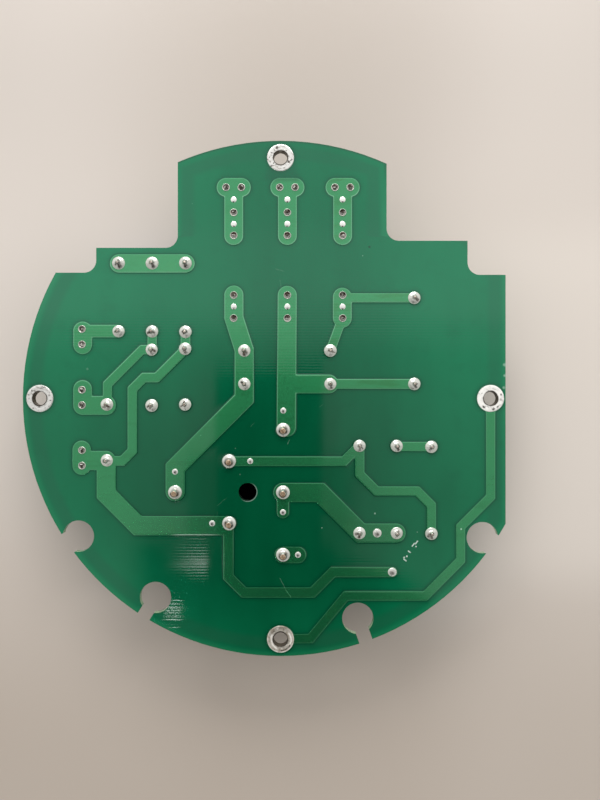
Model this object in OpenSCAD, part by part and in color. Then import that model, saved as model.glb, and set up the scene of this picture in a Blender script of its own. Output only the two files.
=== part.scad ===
// Round three-phase power supply board, lying on its components with the
// soldered face up. X and Y run along the board, Z points out of the soldered
// face, and z = 0 is the soldered face of the laminate at the disc's centre.

/* [Board] */
// Diameter of the round outline
board_d = 168; // [167:0.5:172]
// Thickness of the laminate
board_t = 2; // [1.6:0.1:2.4]
// Height of a masked copper track above the laminate
track_t = 0.1; // [0.06:0.01:0.15]
// Distance of the flat right edge from the centre
right_edge = 73.4; // [73.1:0.1:75]
// Bore of the four plated mounting holes
mount_bore = 4.4; // [4:0.1:4.6]
// Diameter of the tinned rings round the mounting holes
mount_ring_d = 9; // [8:0.1:9.4]
// Diameter of the four round cable notches
notch_d = 10.2; // [9.5:0.1:10.6]
// Diameter of the hole under the choke
choke_hole_d = 5.9; // [5:0.1:6.2]

/* [Soldered joints] */
// Diameter of a capacitor or resistor joint
lead_joint_d = 4.2; // [3.8:0.1:4.4]
// Diameter of a choke joint
choke_joint_d = 4.8; // [4.4:0.1:5]
// Diameter of a tab or fuse clip joint
leg_joint_d = 2.5; // [2.2:0.1:2.7]
// Diameter of a filled via
via_d = 2.1; // [1.8:0.1:2.2]
// Height of a lead's trimmed end above the soldered face
lead_tip = 1.9; // [1.7:0.1:2.4]
// Height of the choke wires' trimmed ends above the soldered face
wire_tip = 2.1; // [1.9:0.1:2.6]

/* [Capacitors] */
// Height of the film capacitors off the board
cap_h = 19.9; // [19.9:0.1:22]
// Length of a line capacitor's case
line_cap_l = 32; // [31:0.5:33]
// Width of a line capacitor's case
line_cap_w = 10; // [8:0.5:10.5]
// Length of a star capacitor's case
star_cap_l = 26.5; // [25.5:0.5:27]
// Width of a star capacitor's case
star_cap_w = 9.5; // [8:0.5:10]
// Diameter of the capacitor and resistor leads
lead_d = 0.8; // [0.6:0.05:0.9]

/* [Choke] */
// Diameter of the choke wire
wire_d = 1.8; // [1.5:0.1:1.9]
// Turns of each winding, not counting the last half turn
turns = 5; // [3:1:5]
// Height of the coated ring core
core_h = 14.4; // [12:0.1:14.4]

/* [Fuses and tabs] */
// Length of a fuse over its end caps
fuse_l = 32; // [31:0.1:32.5]
// Diameter of the fuse end caps
fuse_d = 6.35; // [6.2:0.05:6.5]
// Height of a blade tab off the board
tab_h = 11.5; // [10:0.1:13]
// Width of a blade tab
tab_w = 6.3; // [6.2:0.05:6.4]
// Thickness of a blade tab
tab_t = 0.8; // [0.7:0.05:0.9]

/* [Hidden] */
$fn = 48;

// Plane on which the components stand, measured down from the soldered face
seat = board_t + track_t;

// ---- places on the board, x and y from the disc's centre ----

mount_holes = [[0, 78.5], [0, -78.5], [-78.5, 0], [68.5, 0]];
// Cable notches: centre and width of the mouth
notches = [[[-65.9, -44.9], 7.2], [[-40.75, -64.9], 4.5],
           [[25.2, -71.7], 4.5], [[65.8, -45.4], 7.2]];

// Fuse columns, with the tab legs, the clip legs and the vias of each
cols = [-15.25, 2.25, 20.25];
tab_leg = 2.5;
tab_y = 68.8;
clip_up = 56.85;
clip_lo = 29.9;
clip_leg = 3.75;
fuse_y = (clip_up + clip_lo) / 2;
col_vias = [for (x = cols, y = [64.8, clip_up, clip_lo]) [x, y]];
in_legs = [for (x = cols, s = [-1, 1]) [x + s * tab_leg, tab_y]];
clip_legs = [for (x = cols, y = [clip_up, clip_lo], s = [-1, 1]) [x, y + s * clip_leg]];

// Output tabs stand along the left edge
out_x = -64.7;
outs = [20.1, 0.3, -19.4];
out_legs = [for (y = outs, s = [1, -1]) [out_x, y + s * tab_leg]];

// Capacitor pads, in pairs
line_caps = [[[-11.8, 15.6], [16.25, 15.6]], [[-11.8, 4.7], [16.25, 4.7]],
             [[43.6, 32.8], [43.6, 4.7]], [[25.75, -15.5], [25.75, -43.9]],
             [[37.9, -15.5], [37.9, -43.9]], [[49.2, -15.8], [49.2, -44.1]]];
star_caps = [[[-52.8, 44.1], [-52.8, 21.9]], [[-41.85, 44.1], [-41.85, 21.8]],
             [[-31, 44.1], [-31, 21.7]]];
cap_pads = [for (c = concat(line_caps, star_caps), p = c) p];

// Resistor pads, in pairs
resistors = [[[-42, 15.9], [-42, -2.3]], [[-31.1, 16.2], [-31.1, -2]],
             [[-56.6, -2], [-56.6, -20.2]]];
res_pads = [for (r = resistors, p = r) p];

// Choke: centre, and the two rings of wire ends
choke = [-10.9, -30.6];
pin_out = 23.5;
pin_in = 11.7;
function polar(r, a) = choke + r * [cos(a), sin(a)];
choke_pads = [for (a = [60, 180, 300]) polar(pin_out, a),
              for (a = [120, 240, 0]) polar(pin_in, a)];
choke_vias = [[0.9, -4], [-34.4, -23.9], [5.7, -51], [-9.9, -20.45],
              [-22.3, -40.75], [0.8, -37.1]];
small_vias = concat(col_vias, choke_vias);
big_vias = [[31.55, -43.9], [36.45, -56.6]];
big_via_d = 3.1;

// ---- flat helpers ----

module at(list) { for (p = list) translate(p) children(); }
module dots(list, r) { at(list) circle(r); }

// A track of width w along a list of points, with round ends and corners
module track(pts, w) {
    for (p = pts) translate(p) circle(w / 2 + 0.02);
    for (i = [1 : len(pts) - 1]) {
        d = pts[i] - pts[i - 1];
        translate(pts[i - 1]) rotate(atan2(d[1], d[0]))
            translate([0, -w / 2]) square([norm(d), w]);
    }
}

// A corner cut out of the outline, with a round inner corner of radius r;
// s is -1 on the left and 1 on the right
module step_cut(s, x, y, r) {
    far = 60;
    translate([s < 0 ? x - far : x + r, y]) square([s < 0 ? far - r : far - r, far]);
    translate([s < 0 ? x - far : x, y + r]) square([far, far]);
    translate([x + s * r, y + r]) circle(r);
}

// A round cable notch whose mouth opens through the rim
module notch(c, mouth) {
    translate(c) circle(notch_d / 2);
    translate(c) rotate(atan2(c[1], c[0]))
        translate([0, -mouth / 2]) square([20, mouth]);
}

module outline() {
    difference() {
        circle(board_d / 2, $fn = 180);
        step_cut(-1, -33.5, 49.1, 4);
        step_cut(-1, -60.1, 41, 4);
        step_cut(1, 34.6, 51.4, 4);
        step_cut(1, 61, 40.3, 4);
        translate([right_edge, -100]) square([40, 200]);
        for (n = notches) notch(n[0], n[1]);
    }
}

// ---- board ----

leg_hole = 0.8;
clip_hole = 0.65;
lead_hole = lead_d / 2 + 0.2;
wire_hole = wire_d / 2 + 0.25;
via_hole = 0.45;

module board_laminate() {
    color("darkgreen") translate([0, 0, -board_t]) linear_extrude(board_t) difference() {
        outline();
        dots(mount_holes, mount_bore / 2 + 0.3);
        translate([-10.75, -30.5]) circle(choke_hole_d / 2);
        dots(concat(in_legs, out_legs), leg_hole);
        dots(clip_legs, clip_hole);
        dots(concat(cap_pads, res_pads), lead_hole);
        dots(choke_pads, wire_hole);
        dots(concat(small_vias, big_vias), via_hole);
    }
}

// Every joint's footprint, which the mask leaves bare
module bare_spots() {
    dots(concat(in_legs, out_legs, clip_legs), leg_joint_d / 2);
    dots(concat(cap_pads, res_pads), lead_joint_d / 2);
    dots(choke_pads, choke_joint_d / 2);
    dots(small_vias, via_d / 2);
    dots(big_vias, big_via_d / 2);
    dots(mount_holes, mount_ring_d / 2);
}

// Input areas: a pill through the tab legs and a stem down the upper clip
module input_area(x) {
    track([[x - tab_leg, tab_y], [x + tab_leg, tab_y]], 6.1);
    track([[x, tab_y], [x, 53.05]], 6.1);
}

module solder_side_tracks() {
    color("seagreen") linear_extrude(track_t) difference() {
        union() {
            for (x = cols) input_area(x);
            // star point of the three star capacitors
            track([[-52.6, 44], [-31, 44]], 6);
            // first output
            track([[-64.5, 22], [-64.5, 17.5]], 6.1);
            track([[-64.5, 21.95], [-52.8, 21.95]], 4.1);
            // second output
            track([[-64.5, 2.9], [-64.5, -2.3], [-56.7, -2.3]], 6.1);
            track([[-56.4, -2.3], [-56.4, 4.6], [-45.1, 15.9], [-42, 15.9]], 3);
            track([[-41.8, 21.8], [-41.9, 15.9]], 3);
            // third output, and its way to the choke and the last capacitors
            track([[-64.8, -16.8], [-64.8, -21.9]], 6);
            track([[-64.8, -20.25], [-56.8, -20.25], [-56.8, -31.2], [-46.5, -41.5], [-18.6, -41.5]], 6.2);
            track([[-56.6, -20.4], [-51.6, -20.4], [-48.3, -17.1], [-48.3, 3], [-44.5, 6.8],
                   [-40.3, 6.8], [-31, 16.1], [-30.95, 21.7]], 3.1);
            track([[-17, -41], [-17, -58.2], [-11.9, -63.3], [10.4, -63.3], [17.1, -56.6], [36.45, -56.6]], 3.3);
            // first fuse to the choke
            track([[-15.2, 33.7], [-15.2, 26.3], [-11.85, 15.8], [-11.85, -0.1], [-34.35, -22.6], [-34.35, -30.4]], 6.2);
            // second fuse to the choke
            track([[2.2, 33.6], [1.9, -9.4]], 6.2);
            track([[1.9, 4.7], [15.75, 4.7]], 6.1);
            track([[15.75, 4.7], [43.6, 4.7]], 3.2);
            // third fuse to its capacitors
            track([[20.15, 33.05], [20.15, 26.1]], 6.1);
            track([[20.15, 32.8], [43.6, 32.8]], 3);
            track([[20.1, 26], [16.3, 15.6]], 3);
            // choke to the output capacitors
            track([[-16.75, -20.5], [20.7, -20.5], [25.75, -15.5]], 3.1);
            track([[25.85, -15.5], [25.85, -24.7], [31.35, -30.2], [44.6, -30.2], [49.2, -34.8], [49.2, -44.1]], 3);
            track([[0.8, -30.7], [13, -30.7], [26.2, -43.9], [37.7, -43.9]], 6.2);
            track([[0.8, -30.6], [0.8, -37.1]], 3.9);
            track([[0.8, -51.05], [5.7, -51.05]], 5.3);
            track([[37.9, -15.7], [49.2, -15.7]], 3);
            // earth between two mounting holes
            track([[68.5, 0], [68.5, -32.1], [58.7, -41.9], [58.7, -52.8], [47.2, -64.4],
                   [21.3, -64.4], [9.8, -78.3], [0, -78.4]], 3);
        }
        bare_spots();
    }
}

module component_side_tracks() {
    color("seagreen") translate([0, 0, -seat]) linear_extrude(track_t) difference() {
        union() {
            for (x = cols) {
                input_area(x);
                track([[x, clip_lo + clip_leg], [x, clip_lo - clip_leg]], 6.1);
            }
            // third fuse to the choke
            track([[20.25, 26.2], [20.5, 22], [20.5, 0], [17.5, -3], [17.5, -39.2], [5.7, -51], [0.85, -51]], 3);
            // choke to the first output
            track([[0.8, -37.1], [0.8, -20], [-4.2, -15], [-25, -15], [-31.1, -8.9], [-31.1, -2],
                   [-42, -2.2], [-48, 3.8], [-48, 17.1], [-52.8, 21.9], [-64.7, 21.9]], 3);
            // choke to the second output
            track([[-9.9, -20.45], [-26, -20.45], [-36, -10.5], [-50, -10.5], [-56.6, -3.9], [-56.6, -2]], 3);
            // last capacitors to their return
            track([[36.45, -56.6], [43.55, -49.5], [43.55, -15.7]], 2.6);
            track([[37.9, -15.7], [49.2, -15.7]], 2.6);
            // vias beside the choke wires
            track([[0.9, -4], [0.85, -10.2]], 3);
            track([[-34.4, -23.9], [-34.4, -30.6]], 3);
            track([[-22.3, -40.75], [-16.8, -40.75]], 3);
            track([[25.75, -43.9], [37.9, -43.9]], 3);
        }
        bare_spots();
    }
}

// A bare ring on the component side
module pad_ring(d, hole) {
    linear_extrude(track_t) difference() { circle(d / 2); circle(hole); }
}

module component_side_pads() {
    color("silver") translate([0, 0, -seat]) {
        at(concat(in_legs, out_legs)) pad_ring(leg_joint_d, leg_hole);
        at(clip_legs) pad_ring(leg_joint_d, clip_hole);
        at(concat(cap_pads, res_pads)) pad_ring(lead_joint_d, lead_hole);
        at(choke_pads) pad_ring(choke_joint_d, wire_hole);
    }
}

// Plated holes with a tinned ring on both faces and a flared upper edge
module mounting_hole_rings() {
    ri = mount_bore / 2;
    ro = mount_ring_d / 2;
    h = 0.16;
    color("silver") at(mount_holes) rotate_extrude() polygon([
        [ri, -board_t - h], [ro, -board_t - h], [ro, -board_t], [ri + 0.3, -board_t],
        [ri + 0.3, 0], [ro, 0], [ro - 0.25, h], [ri + 0.4, h], [ri + 0.12, h - 0.06], [ri, 0.03]]);
}

// ---- soldered joints ----

// Outline of a joint: a low foot, a bulge and a steep climb to the lead
function joint_pts(rl, rp, h) = [for (i = [0 : 6])
    let (t = i / 6)
    [rp + (rl - rp) * t, 0.15 + (h - 0.15) * (0.75 * sin(90 * t) + 0.25 * t * t)]];

// A joint round a round lead of radius rl
module round_joint(rl, hole, rp, h) {
    rotate_extrude() polygon(concat(
        [[rl, -board_t], [hole, -board_t], [hole, 0], [rp, 0]],
        joint_pts(rl, rp, h)));
}

// A joint round a flat leg, ax by ay across
module leg_joint(ax, ay, hole, rp, h) {
    difference() {
        rotate_extrude() polygon(concat(
            [[0, -board_t], [hole, -board_t], [hole, 0], [rp, 0]],
            joint_pts(0.45, rp, h), [[0, h]]));
        translate([-ax / 2, -ay / 2, -board_t - 1]) cube([ax, ay, board_t + 4]);
    }
}

module via_fill(rp, h) {
    rotate_extrude() polygon(concat(
        [[0, -seat], [rp * 0.8, -seat], [rp, -board_t], [via_hole, -board_t], [via_hole, 0], [rp, 0]],
        [for (i = [0 : 5]) [rp * cos(18 * i), 0.1 + (h - 0.1) * sin(18 * i)]]));
}

leg_w = 1.2;
clip_leg_w = 0.9;
clip_t = 0.5;
leg_end = 0.85;

module tab_solder_joints() {
    color("silver") {
        at(in_legs) leg_joint(leg_w, tab_t, leg_hole, leg_joint_d / 2, 0.7);
        at(out_legs) leg_joint(tab_t, leg_w, leg_hole, leg_joint_d / 2, 0.7);
    }
}
module fuse_clip_solder_joints() {
    color("silver") at(clip_legs) leg_joint(clip_leg_w, clip_t, clip_hole, leg_joint_d / 2, 0.7);
}
module capacitor_solder_joints() {
    color("silver") at(cap_pads) round_joint(lead_d / 2, lead_hole, lead_joint_d / 2, 1.4);
}
module resistor_solder_joints() {
    color("silver") at(res_pads) round_joint(lead_d / 2, lead_hole, lead_joint_d / 2, 1.4);
}
module choke_solder_joints() {
    color("silver") at(choke_pads) round_joint(wire_d / 2, wire_hole, choke_joint_d / 2, 1.5);
}
module filled_vias() {
    color("silver") {
        at(small_vias) via_fill(via_d / 2, 0.55);
        at(big_vias) via_fill(big_via_d / 2, 0.8);
    }
}

// ---- components, which hang under the board ----

// Turns a piece over: its own z then runs away from the board
module under(p) { translate([p[0], p[1], -seat]) mirror([0, 0, 1]) children(); }

// Blade tab with two legs, a shoulder, a detent hole and a chamfered end
module blade_tab() {
    w = tab_w / 2;
    c = tab_leg;
    l = leg_w / 2;
    down = -seat - leg_end;
    rotate([90, 0, 0]) translate([0, 0, -tab_t / 2]) linear_extrude(tab_t) difference() {
        polygon([[-c - l, 0], [-c - l, down + 0.3], [-c - l + 0.3, down], [-c + l - 0.3, down], [-c + l, down + 0.3], [-c + l, 0],
                 [c - l, 0], [c - l, down + 0.3], [c - l + 0.3, down], [c + l - 0.3, down], [c + l, down + 0.3], [c + l, 0],
                 [w, 0], [w, tab_h - 1.6], [w - 0.9, tab_h], [-w + 0.9, tab_h], [-w, tab_h - 1.6], [-w, 0]]);
        translate([0, tab_h - 4.2]) circle(0.9);
    }
}
module input_tab(i) { color("silver") under([cols[i], tab_y]) blade_tab(); }
module output_tab(i) { color("silver") under([out_x, outs[i]]) rotate(90) blade_tab(); }
module input_tab_1() { input_tab(0); }
module input_tab_2() { input_tab(1); }
module input_tab_3() { input_tab(2); }
module output_tab_1() { output_tab(0); }
module output_tab_2() { output_tab(1); }
module output_tab_3() { output_tab(2); }

// Spring clip: a base strip with a leg bent down at each end, and a sprung ring
// open at the top with two flared lips
fuse_z = 4.3;
clip_w = 6;
module fuse_clip(x, y) {
    r = fuse_d / 2;
    color("gainsboro") under([x, y]) {
        translate([-2.4, -clip_leg - clip_t / 2, 0]) cube([4.8, 2 * clip_leg + clip_t, clip_t]);
        for (s = [-1, 1]) translate([-clip_leg_w / 2, s * clip_leg - clip_t / 2, -seat - leg_end])
            cube([clip_leg_w, clip_t, seat + leg_end + 0.1]);
        difference() {
            union() {
                translate([0, clip_w / 2, fuse_z]) rotate([90, 0, 0]) cylinder(h = clip_w, r = r + clip_t);
                translate([-1.6, -clip_w / 2, 0.1]) cube([3.2, clip_w, 2]);
                for (s = [-1, 1]) translate([s * 2.55, 0, fuse_z + 2.1]) rotate([0, s * 35, 0])
                    translate([-clip_t / 2, -clip_w / 2, 0]) cube([clip_t, clip_w, 2.4]);
            }
            translate([0, clip_w, fuse_z]) rotate([90, 0, 0]) cylinder(h = 2 * clip_w, r = r);
            translate([-2.1, -clip_w, fuse_z + 1.6]) cube([4.2, 2 * clip_w, 6]);
        }
    }
}
module fuse_clip_1_upper() { fuse_clip(cols[0], clip_up); }
module fuse_clip_1_lower() { fuse_clip(cols[0], clip_lo); }
module fuse_clip_2_upper() { fuse_clip(cols[1], clip_up); }
module fuse_clip_2_lower() { fuse_clip(cols[1], clip_lo); }
module fuse_clip_3_upper() { fuse_clip(cols[2], clip_up); }
module fuse_clip_3_lower() { fuse_clip(cols[2], clip_lo); }

// Ceramic tube fuse, lying in its two clips
cap_end_t = 0.4;
cap_len = 6.2;
tube_r = fuse_d / 2 - 0.25;
module fuse_tube(x) {
    color("ivory") under([x, fuse_y]) translate([0, fuse_l / 2 - cap_end_t, fuse_z])
        rotate([90, 0, 0]) cylinder(h = fuse_l - 2 * cap_end_t, r = tube_r);
}
module fuse_end_caps(x) {
    color("silver") under([x, fuse_y]) for (s = [-1, 1])
        translate([0, s * fuse_l / 2, fuse_z]) rotate([s * 90, 0, 0]) difference() {
            cylinder(h = cap_len, r = fuse_d / 2);
            translate([0, 0, cap_end_t]) cylinder(h = cap_len, r = tube_r);
        }
}
module fuse_1_tube() { fuse_tube(cols[0]); }
module fuse_2_tube() { fuse_tube(cols[1]); }
module fuse_3_tube() { fuse_tube(cols[2]); }
module fuse_1_end_caps() { fuse_end_caps(cols[0]); }
module fuse_2_end_caps() { fuse_end_caps(cols[1]); }
module fuse_3_end_caps() { fuse_end_caps(cols[2]); }

// Film capacitor in a box with softened upright corners
module box_cap(pair, l, w) {
    mid = (pair[0] + pair[1]) / 2;
    d = pair[1] - pair[0];
    r = 0.8;
    under(mid) rotate(atan2(d[1], d[0])) linear_extrude(cap_h) {
        translate([-l / 2 + r, -w / 2]) square([l - 2 * r, w]);
        translate([-l / 2, -w / 2 + r]) square([l, w - 2 * r]);
        for (sx = [-1, 1], sy = [-1, 1]) translate([sx * (l / 2 - r), sy * (w / 2 - r)]) circle(r);
    }
}
module line_cap(i) { color("slategray") box_cap(line_caps[i], line_cap_l, line_cap_w); }
module star_cap(i) { color("steelblue") box_cap(star_caps[i], star_cap_l, star_cap_w); }
module line_capacitor_1() { line_cap(0); }
module line_capacitor_2() { line_cap(1); }
module line_capacitor_3() { line_cap(2); }
module line_capacitor_4() { line_cap(3); }
module line_capacitor_5() { line_cap(4); }
module line_capacitor_6() { line_cap(5); }
module star_capacitor_1() { star_cap(0); }
module star_capacitor_2() { star_cap(1); }
module star_capacitor_3() { star_cap(2); }

module capacitor_leads() {
    color("silver") at(cap_pads) translate([0, 0, -seat]) cylinder(h = seat + lead_tip, r = lead_d / 2);
}

// ---- choke ----

base_t = 1.5;
base_r = 25.2;
core_ro = 22.6;
core_ri = 12.6;
wire_r = wire_d / 2;
core_z = base_t + wire_d + 0.15;
core_top = core_z + core_h;
gap = 0.1;

// Moulded base plate with holes for the six wire ends
module choke_base() {
    color("black") under(choke) linear_extrude(base_t) difference() {
        circle(base_r);
        for (a = [60, 180, 300]) translate(pin_out * [cos(a), sin(a)]) circle(wire_r + 0.1);
        for (a = [0, 120, 240]) translate(pin_in * [cos(a), sin(a)]) circle(wire_r + 0.1);
    }
}

// Three-armed separator standing in the ring between the windings: a six-sided
// hub, and three arms that butt against its flats
hub_flat = 2.25;
module choke_separator_hub() {
    color("black") under(choke) translate([0, 0, base_t]) linear_extrude(core_top - base_t)
        circle(hub_flat / cos(30), $fn = 6);
}
module choke_separator_arms() {
    color("black") under(choke) translate([0, 0, base_t]) linear_extrude(core_top - base_t)
        for (a = [30, 150, 270]) rotate(a) translate([hub_flat, -0.8]) square([core_ri - 0.15 - hub_flat, 1.6]);
}

// Coated ring core with rounded corners
module choke_core() {
    c = 1.6;
    color("darkslategray") under(choke) translate([0, 0, core_z]) rotate_extrude() polygon(concat(
        [for (i = [0 : 4]) [core_ri + c, c] + c * [-sin(22.5 * i), -cos(22.5 * i)]],
        [for (i = [0 : 4]) [core_ri + c, core_h - c] + c * [-cos(22.5 * i), sin(22.5 * i)]],
        [for (i = [0 : 4]) [core_ro - c, core_h - c] + c * [sin(22.5 * i), cos(22.5 * i)]],
        [for (i = [0 : 4]) [core_ro - c, c] + c * [cos(22.5 * i), -sin(22.5 * i)]]));
}

// The wire's centre line: one trip round the core's section, as radius and
// height at each step of a turn, and the angle runs on evenly
w_ro = pin_out + 0.1;
w_ri = pin_in - 0.1;
w_zb = core_z - gap - wire_r + 0.05;
w_zt = core_top + gap + wire_r;
b = 2.4;
loop_rz = [[w_ro, (w_zb + w_zt) / 2], [w_ro, w_zt - b], [w_ro - 0.7, w_zt - 0.7], [w_ro - b, w_zt],
           [(w_ro + w_ri) / 2, w_zt], [w_ri + b, w_zt], [w_ri + 0.7, w_zt - 0.7], [w_ri, w_zt - b],
           [w_ri, (w_zb + w_zt) / 2], [w_ri, w_zb + b], [w_ri + 0.7, w_zb + 0.7], [w_ri + b, w_zb],
           [(w_ro + w_ri) / 2, w_zb], [w_ro - b, w_zb], [w_ro - 0.7, w_zb + 0.7], [w_ro, w_zb + b]];
n_loop = len(loop_rz);
n_wire = n_loop * turns + n_loop / 2;
function wire_pt(i, a0) =
    let (p = loop_rz[i % n_loop], a = a0 + 60 * i / n_wire)
    [p[0] * cos(a), p[0] * sin(a), p[1]];
function wire_path(a0) = concat(
    [for (z = [0, w_zb + 1]) [pin_out * cos(a0), pin_out * sin(a0), z]],
    [for (i = [0 : n_wire]) wire_pt(i, a0)],
    [for (z = [w_zb + 1, 0]) [pin_in * cos(a0 + 60), pin_in * sin(a0 + 60), z]]);

// A round wire swept along points, each ring square to the path
function unit(v) = v / norm(v);
function tangent(p, i) = unit(p[min(i + 1, len(p) - 1)] - p[max(i - 1, 0)]);
module sweep(p, r, sides) {
    n = len(p);
    pts = [for (i = [0 : n - 1])
        let (t = tangent(p, i),
             m = unit([p[i][0], p[i][1], 0]),
             side = unit(cross([m[1], -m[0], 0], t)),
             other = cross(t, side))
        for (k = [0 : sides - 1]) p[i] + r * (cos(360 * k / sides) * side + sin(360 * k / sides) * other)];
    polyhedron(points = pts, faces = concat(
        [[for (k = [0 : sides - 1]) k]],
        [[for (k = [sides - 1 : -1 : 0]) (n - 1) * sides + k]],
        [for (i = [0 : n - 2], k = [0 : sides - 1])
            [i * sides + k, (i + 1) * sides + k, (i + 1) * sides + (k + 1) % sides, i * sides + (k + 1) % sides]]),
        convexity = 10);
}
module choke_winding(a0) { color("peru") under(choke) sweep(wire_path(a0), wire_r, 8); }
module choke_winding_1() { choke_winding(180); }
module choke_winding_2() { choke_winding(60); }
module choke_winding_3() { choke_winding(300); }

// The tinned ends of the windings, through the board to their joints
module choke_wire_ends() {
    color("peru") at(choke_pads) translate([0, 0, -seat]) cylinder(h = seat + wire_tip, r = wire_r);
}

// ---- bleed resistors ----

res_z = 2.7;
module bleed_resistor(i) {
    mid = (resistors[i][0] + resistors[i][1]) / 2;
    color("lightsteelblue") under(mid) translate([0, -6, res_z]) rotate([-90, 0, 0]) rotate_extrude() polygon(
        [[0, 0], [1.6, 0], [2.3, 0.5], [2.5, 1.2], [2.5, 2.4], [2.2, 3.1],
         [2.2, 8.9], [2.5, 9.6], [2.5, 10.8], [2.3, 11.5], [1.6, 12], [0, 12]]);
}
module bleed_resistor_1() { bleed_resistor(0); }
module bleed_resistor_2() { bleed_resistor(1); }
module bleed_resistor_3() { bleed_resistor(2); }

module resistor_leads() {
    r = lead_d / 2;
    color("silver") for (q = resistors, s = [0, 1]) {
        len_y = abs(q[0][1] - q[1][1]) / 2 - 6;
        dir = s == 0 ? -1 : 1;
        under(q[s]) {
            translate([0, 0, -seat - lead_tip]) cylinder(h = seat + lead_tip + res_z, r = r);
            translate([0, 0, res_z]) sphere(r);
            translate([0, 0, res_z]) rotate([-90 * dir, 0, 0]) cylinder(h = len_y, r = r);
        }
    }
}

board_laminate();
solder_side_tracks();
component_side_tracks();
component_side_pads();
mounting_hole_rings();
tab_solder_joints();
fuse_clip_solder_joints();
capacitor_solder_joints();
resistor_solder_joints();
choke_solder_joints();
filled_vias();
input_tab_1();
input_tab_2();
input_tab_3();
output_tab_1();
output_tab_2();
output_tab_3();
fuse_clip_1_upper();
fuse_clip_1_lower();
fuse_clip_2_upper();
fuse_clip_2_lower();
fuse_clip_3_upper();
fuse_clip_3_lower();
fuse_1_tube();
fuse_2_tube();
fuse_3_tube();
fuse_1_end_caps();
fuse_2_end_caps();
fuse_3_end_caps();
line_capacitor_1();
line_capacitor_2();
line_capacitor_3();
line_capacitor_4();
line_capacitor_5();
line_capacitor_6();
star_capacitor_1();
star_capacitor_2();
star_capacitor_3();
capacitor_leads();
choke_base();
choke_separator_hub();
choke_separator_arms();
choke_core();
choke_winding_1();
choke_winding_2();
choke_winding_3();
choke_wire_ends();
bleed_resistor_1();
bleed_resistor_2();
bleed_resistor_3();
resistor_leads();
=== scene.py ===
import math

import bpy
import numpy as np
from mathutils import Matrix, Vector
from mathutils.geometry import delaunay_2d_cdt


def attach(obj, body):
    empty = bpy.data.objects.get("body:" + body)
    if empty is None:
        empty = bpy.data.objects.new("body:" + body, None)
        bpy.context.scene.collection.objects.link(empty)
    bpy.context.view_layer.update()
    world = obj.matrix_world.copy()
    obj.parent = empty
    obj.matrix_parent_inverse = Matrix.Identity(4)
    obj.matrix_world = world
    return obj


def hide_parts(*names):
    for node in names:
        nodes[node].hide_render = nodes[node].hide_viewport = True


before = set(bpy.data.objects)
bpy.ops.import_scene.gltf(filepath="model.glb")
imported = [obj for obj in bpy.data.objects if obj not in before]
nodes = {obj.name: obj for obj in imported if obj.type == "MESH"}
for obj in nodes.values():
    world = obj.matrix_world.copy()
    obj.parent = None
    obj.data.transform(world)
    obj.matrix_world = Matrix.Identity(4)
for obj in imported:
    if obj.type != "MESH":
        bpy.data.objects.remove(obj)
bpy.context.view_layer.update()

MM = 0.001
scene = bpy.context.scene
rng = np.random.RandomState(7)

# ---------------------------------------------------------------- layout, mm
BOARD_T = 2.0
TRACK_T = 0.1
SEAT = BOARD_T + TRACK_T
MOUNTS = [(0, 78.5), (0, -78.5), (-78.5, 0), (68.5, 0)]
COLS = (-15.25, 2.25, 20.25)
IN_LEGS = [(x + s * 2.5, 68.8) for x in COLS for s in (-1, 1)]
OUT_LEGS = [(-64.7, y + s * 2.5) for y in (20.1, 0.3, -19.4) for s in (1, -1)]
CLIP_LEGS = [(x, y + s * 3.75) for x in COLS for y in (56.85, 29.9) for s in (-1, 1)]
LINE_CAPS = [((-11.8, 15.6), (16.25, 15.6)), ((-11.8, 4.7), (16.25, 4.7)),
             ((43.6, 32.8), (43.6, 4.7)), ((25.75, -15.5), (25.75, -43.9)),
             ((37.9, -15.5), (37.9, -43.9)), ((49.2, -15.8), (49.2, -44.1))]
STAR_CAPS = [((-52.8, 44.1), (-52.8, 21.9)), ((-41.85, 44.1), (-41.85, 21.8)),
             ((-31, 44.1), (-31, 21.7))]
CAP_PADS = [p for c in LINE_CAPS + STAR_CAPS for p in c]
RESISTORS = [((-42, 15.9), (-42, -2.3)), ((-31.1, 16.2), (-31.1, -2)), ((-56.6, -2), (-56.6, -20.2))]
RES_PADS = [p for r in RESISTORS for p in r]
CHOKE = (-10.9, -30.6)
PIN_OUT, PIN_IN = 23.5, 11.7


def polar(r, a):
    return (CHOKE[0] + r * math.cos(math.radians(a)), CHOKE[1] + r * math.sin(math.radians(a)))


CHOKE_PADS = [polar(PIN_OUT, a) for a in (60, 180, 300)] + [polar(PIN_IN, a) for a in (120, 240, 0)]
SMALL_VIAS = [(x, y) for x in COLS for y in (64.8, 56.85, 29.9)] + [
    (0.9, -4), (-34.4, -23.9), (5.7, -51), (-9.9, -20.45), (-22.3, -40.75), (0.8, -37.1)]
BIG_VIAS = [(31.55, -43.9), (36.45, -56.6)]

INPUT_AREAS = []
for _x in COLS:
    INPUT_AREAS += [([(_x - 2.5, 68.8), (_x + 2.5, 68.8)], 6.1), ([(_x, 68.8), (_x, 53.05)], 6.1)]

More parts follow.
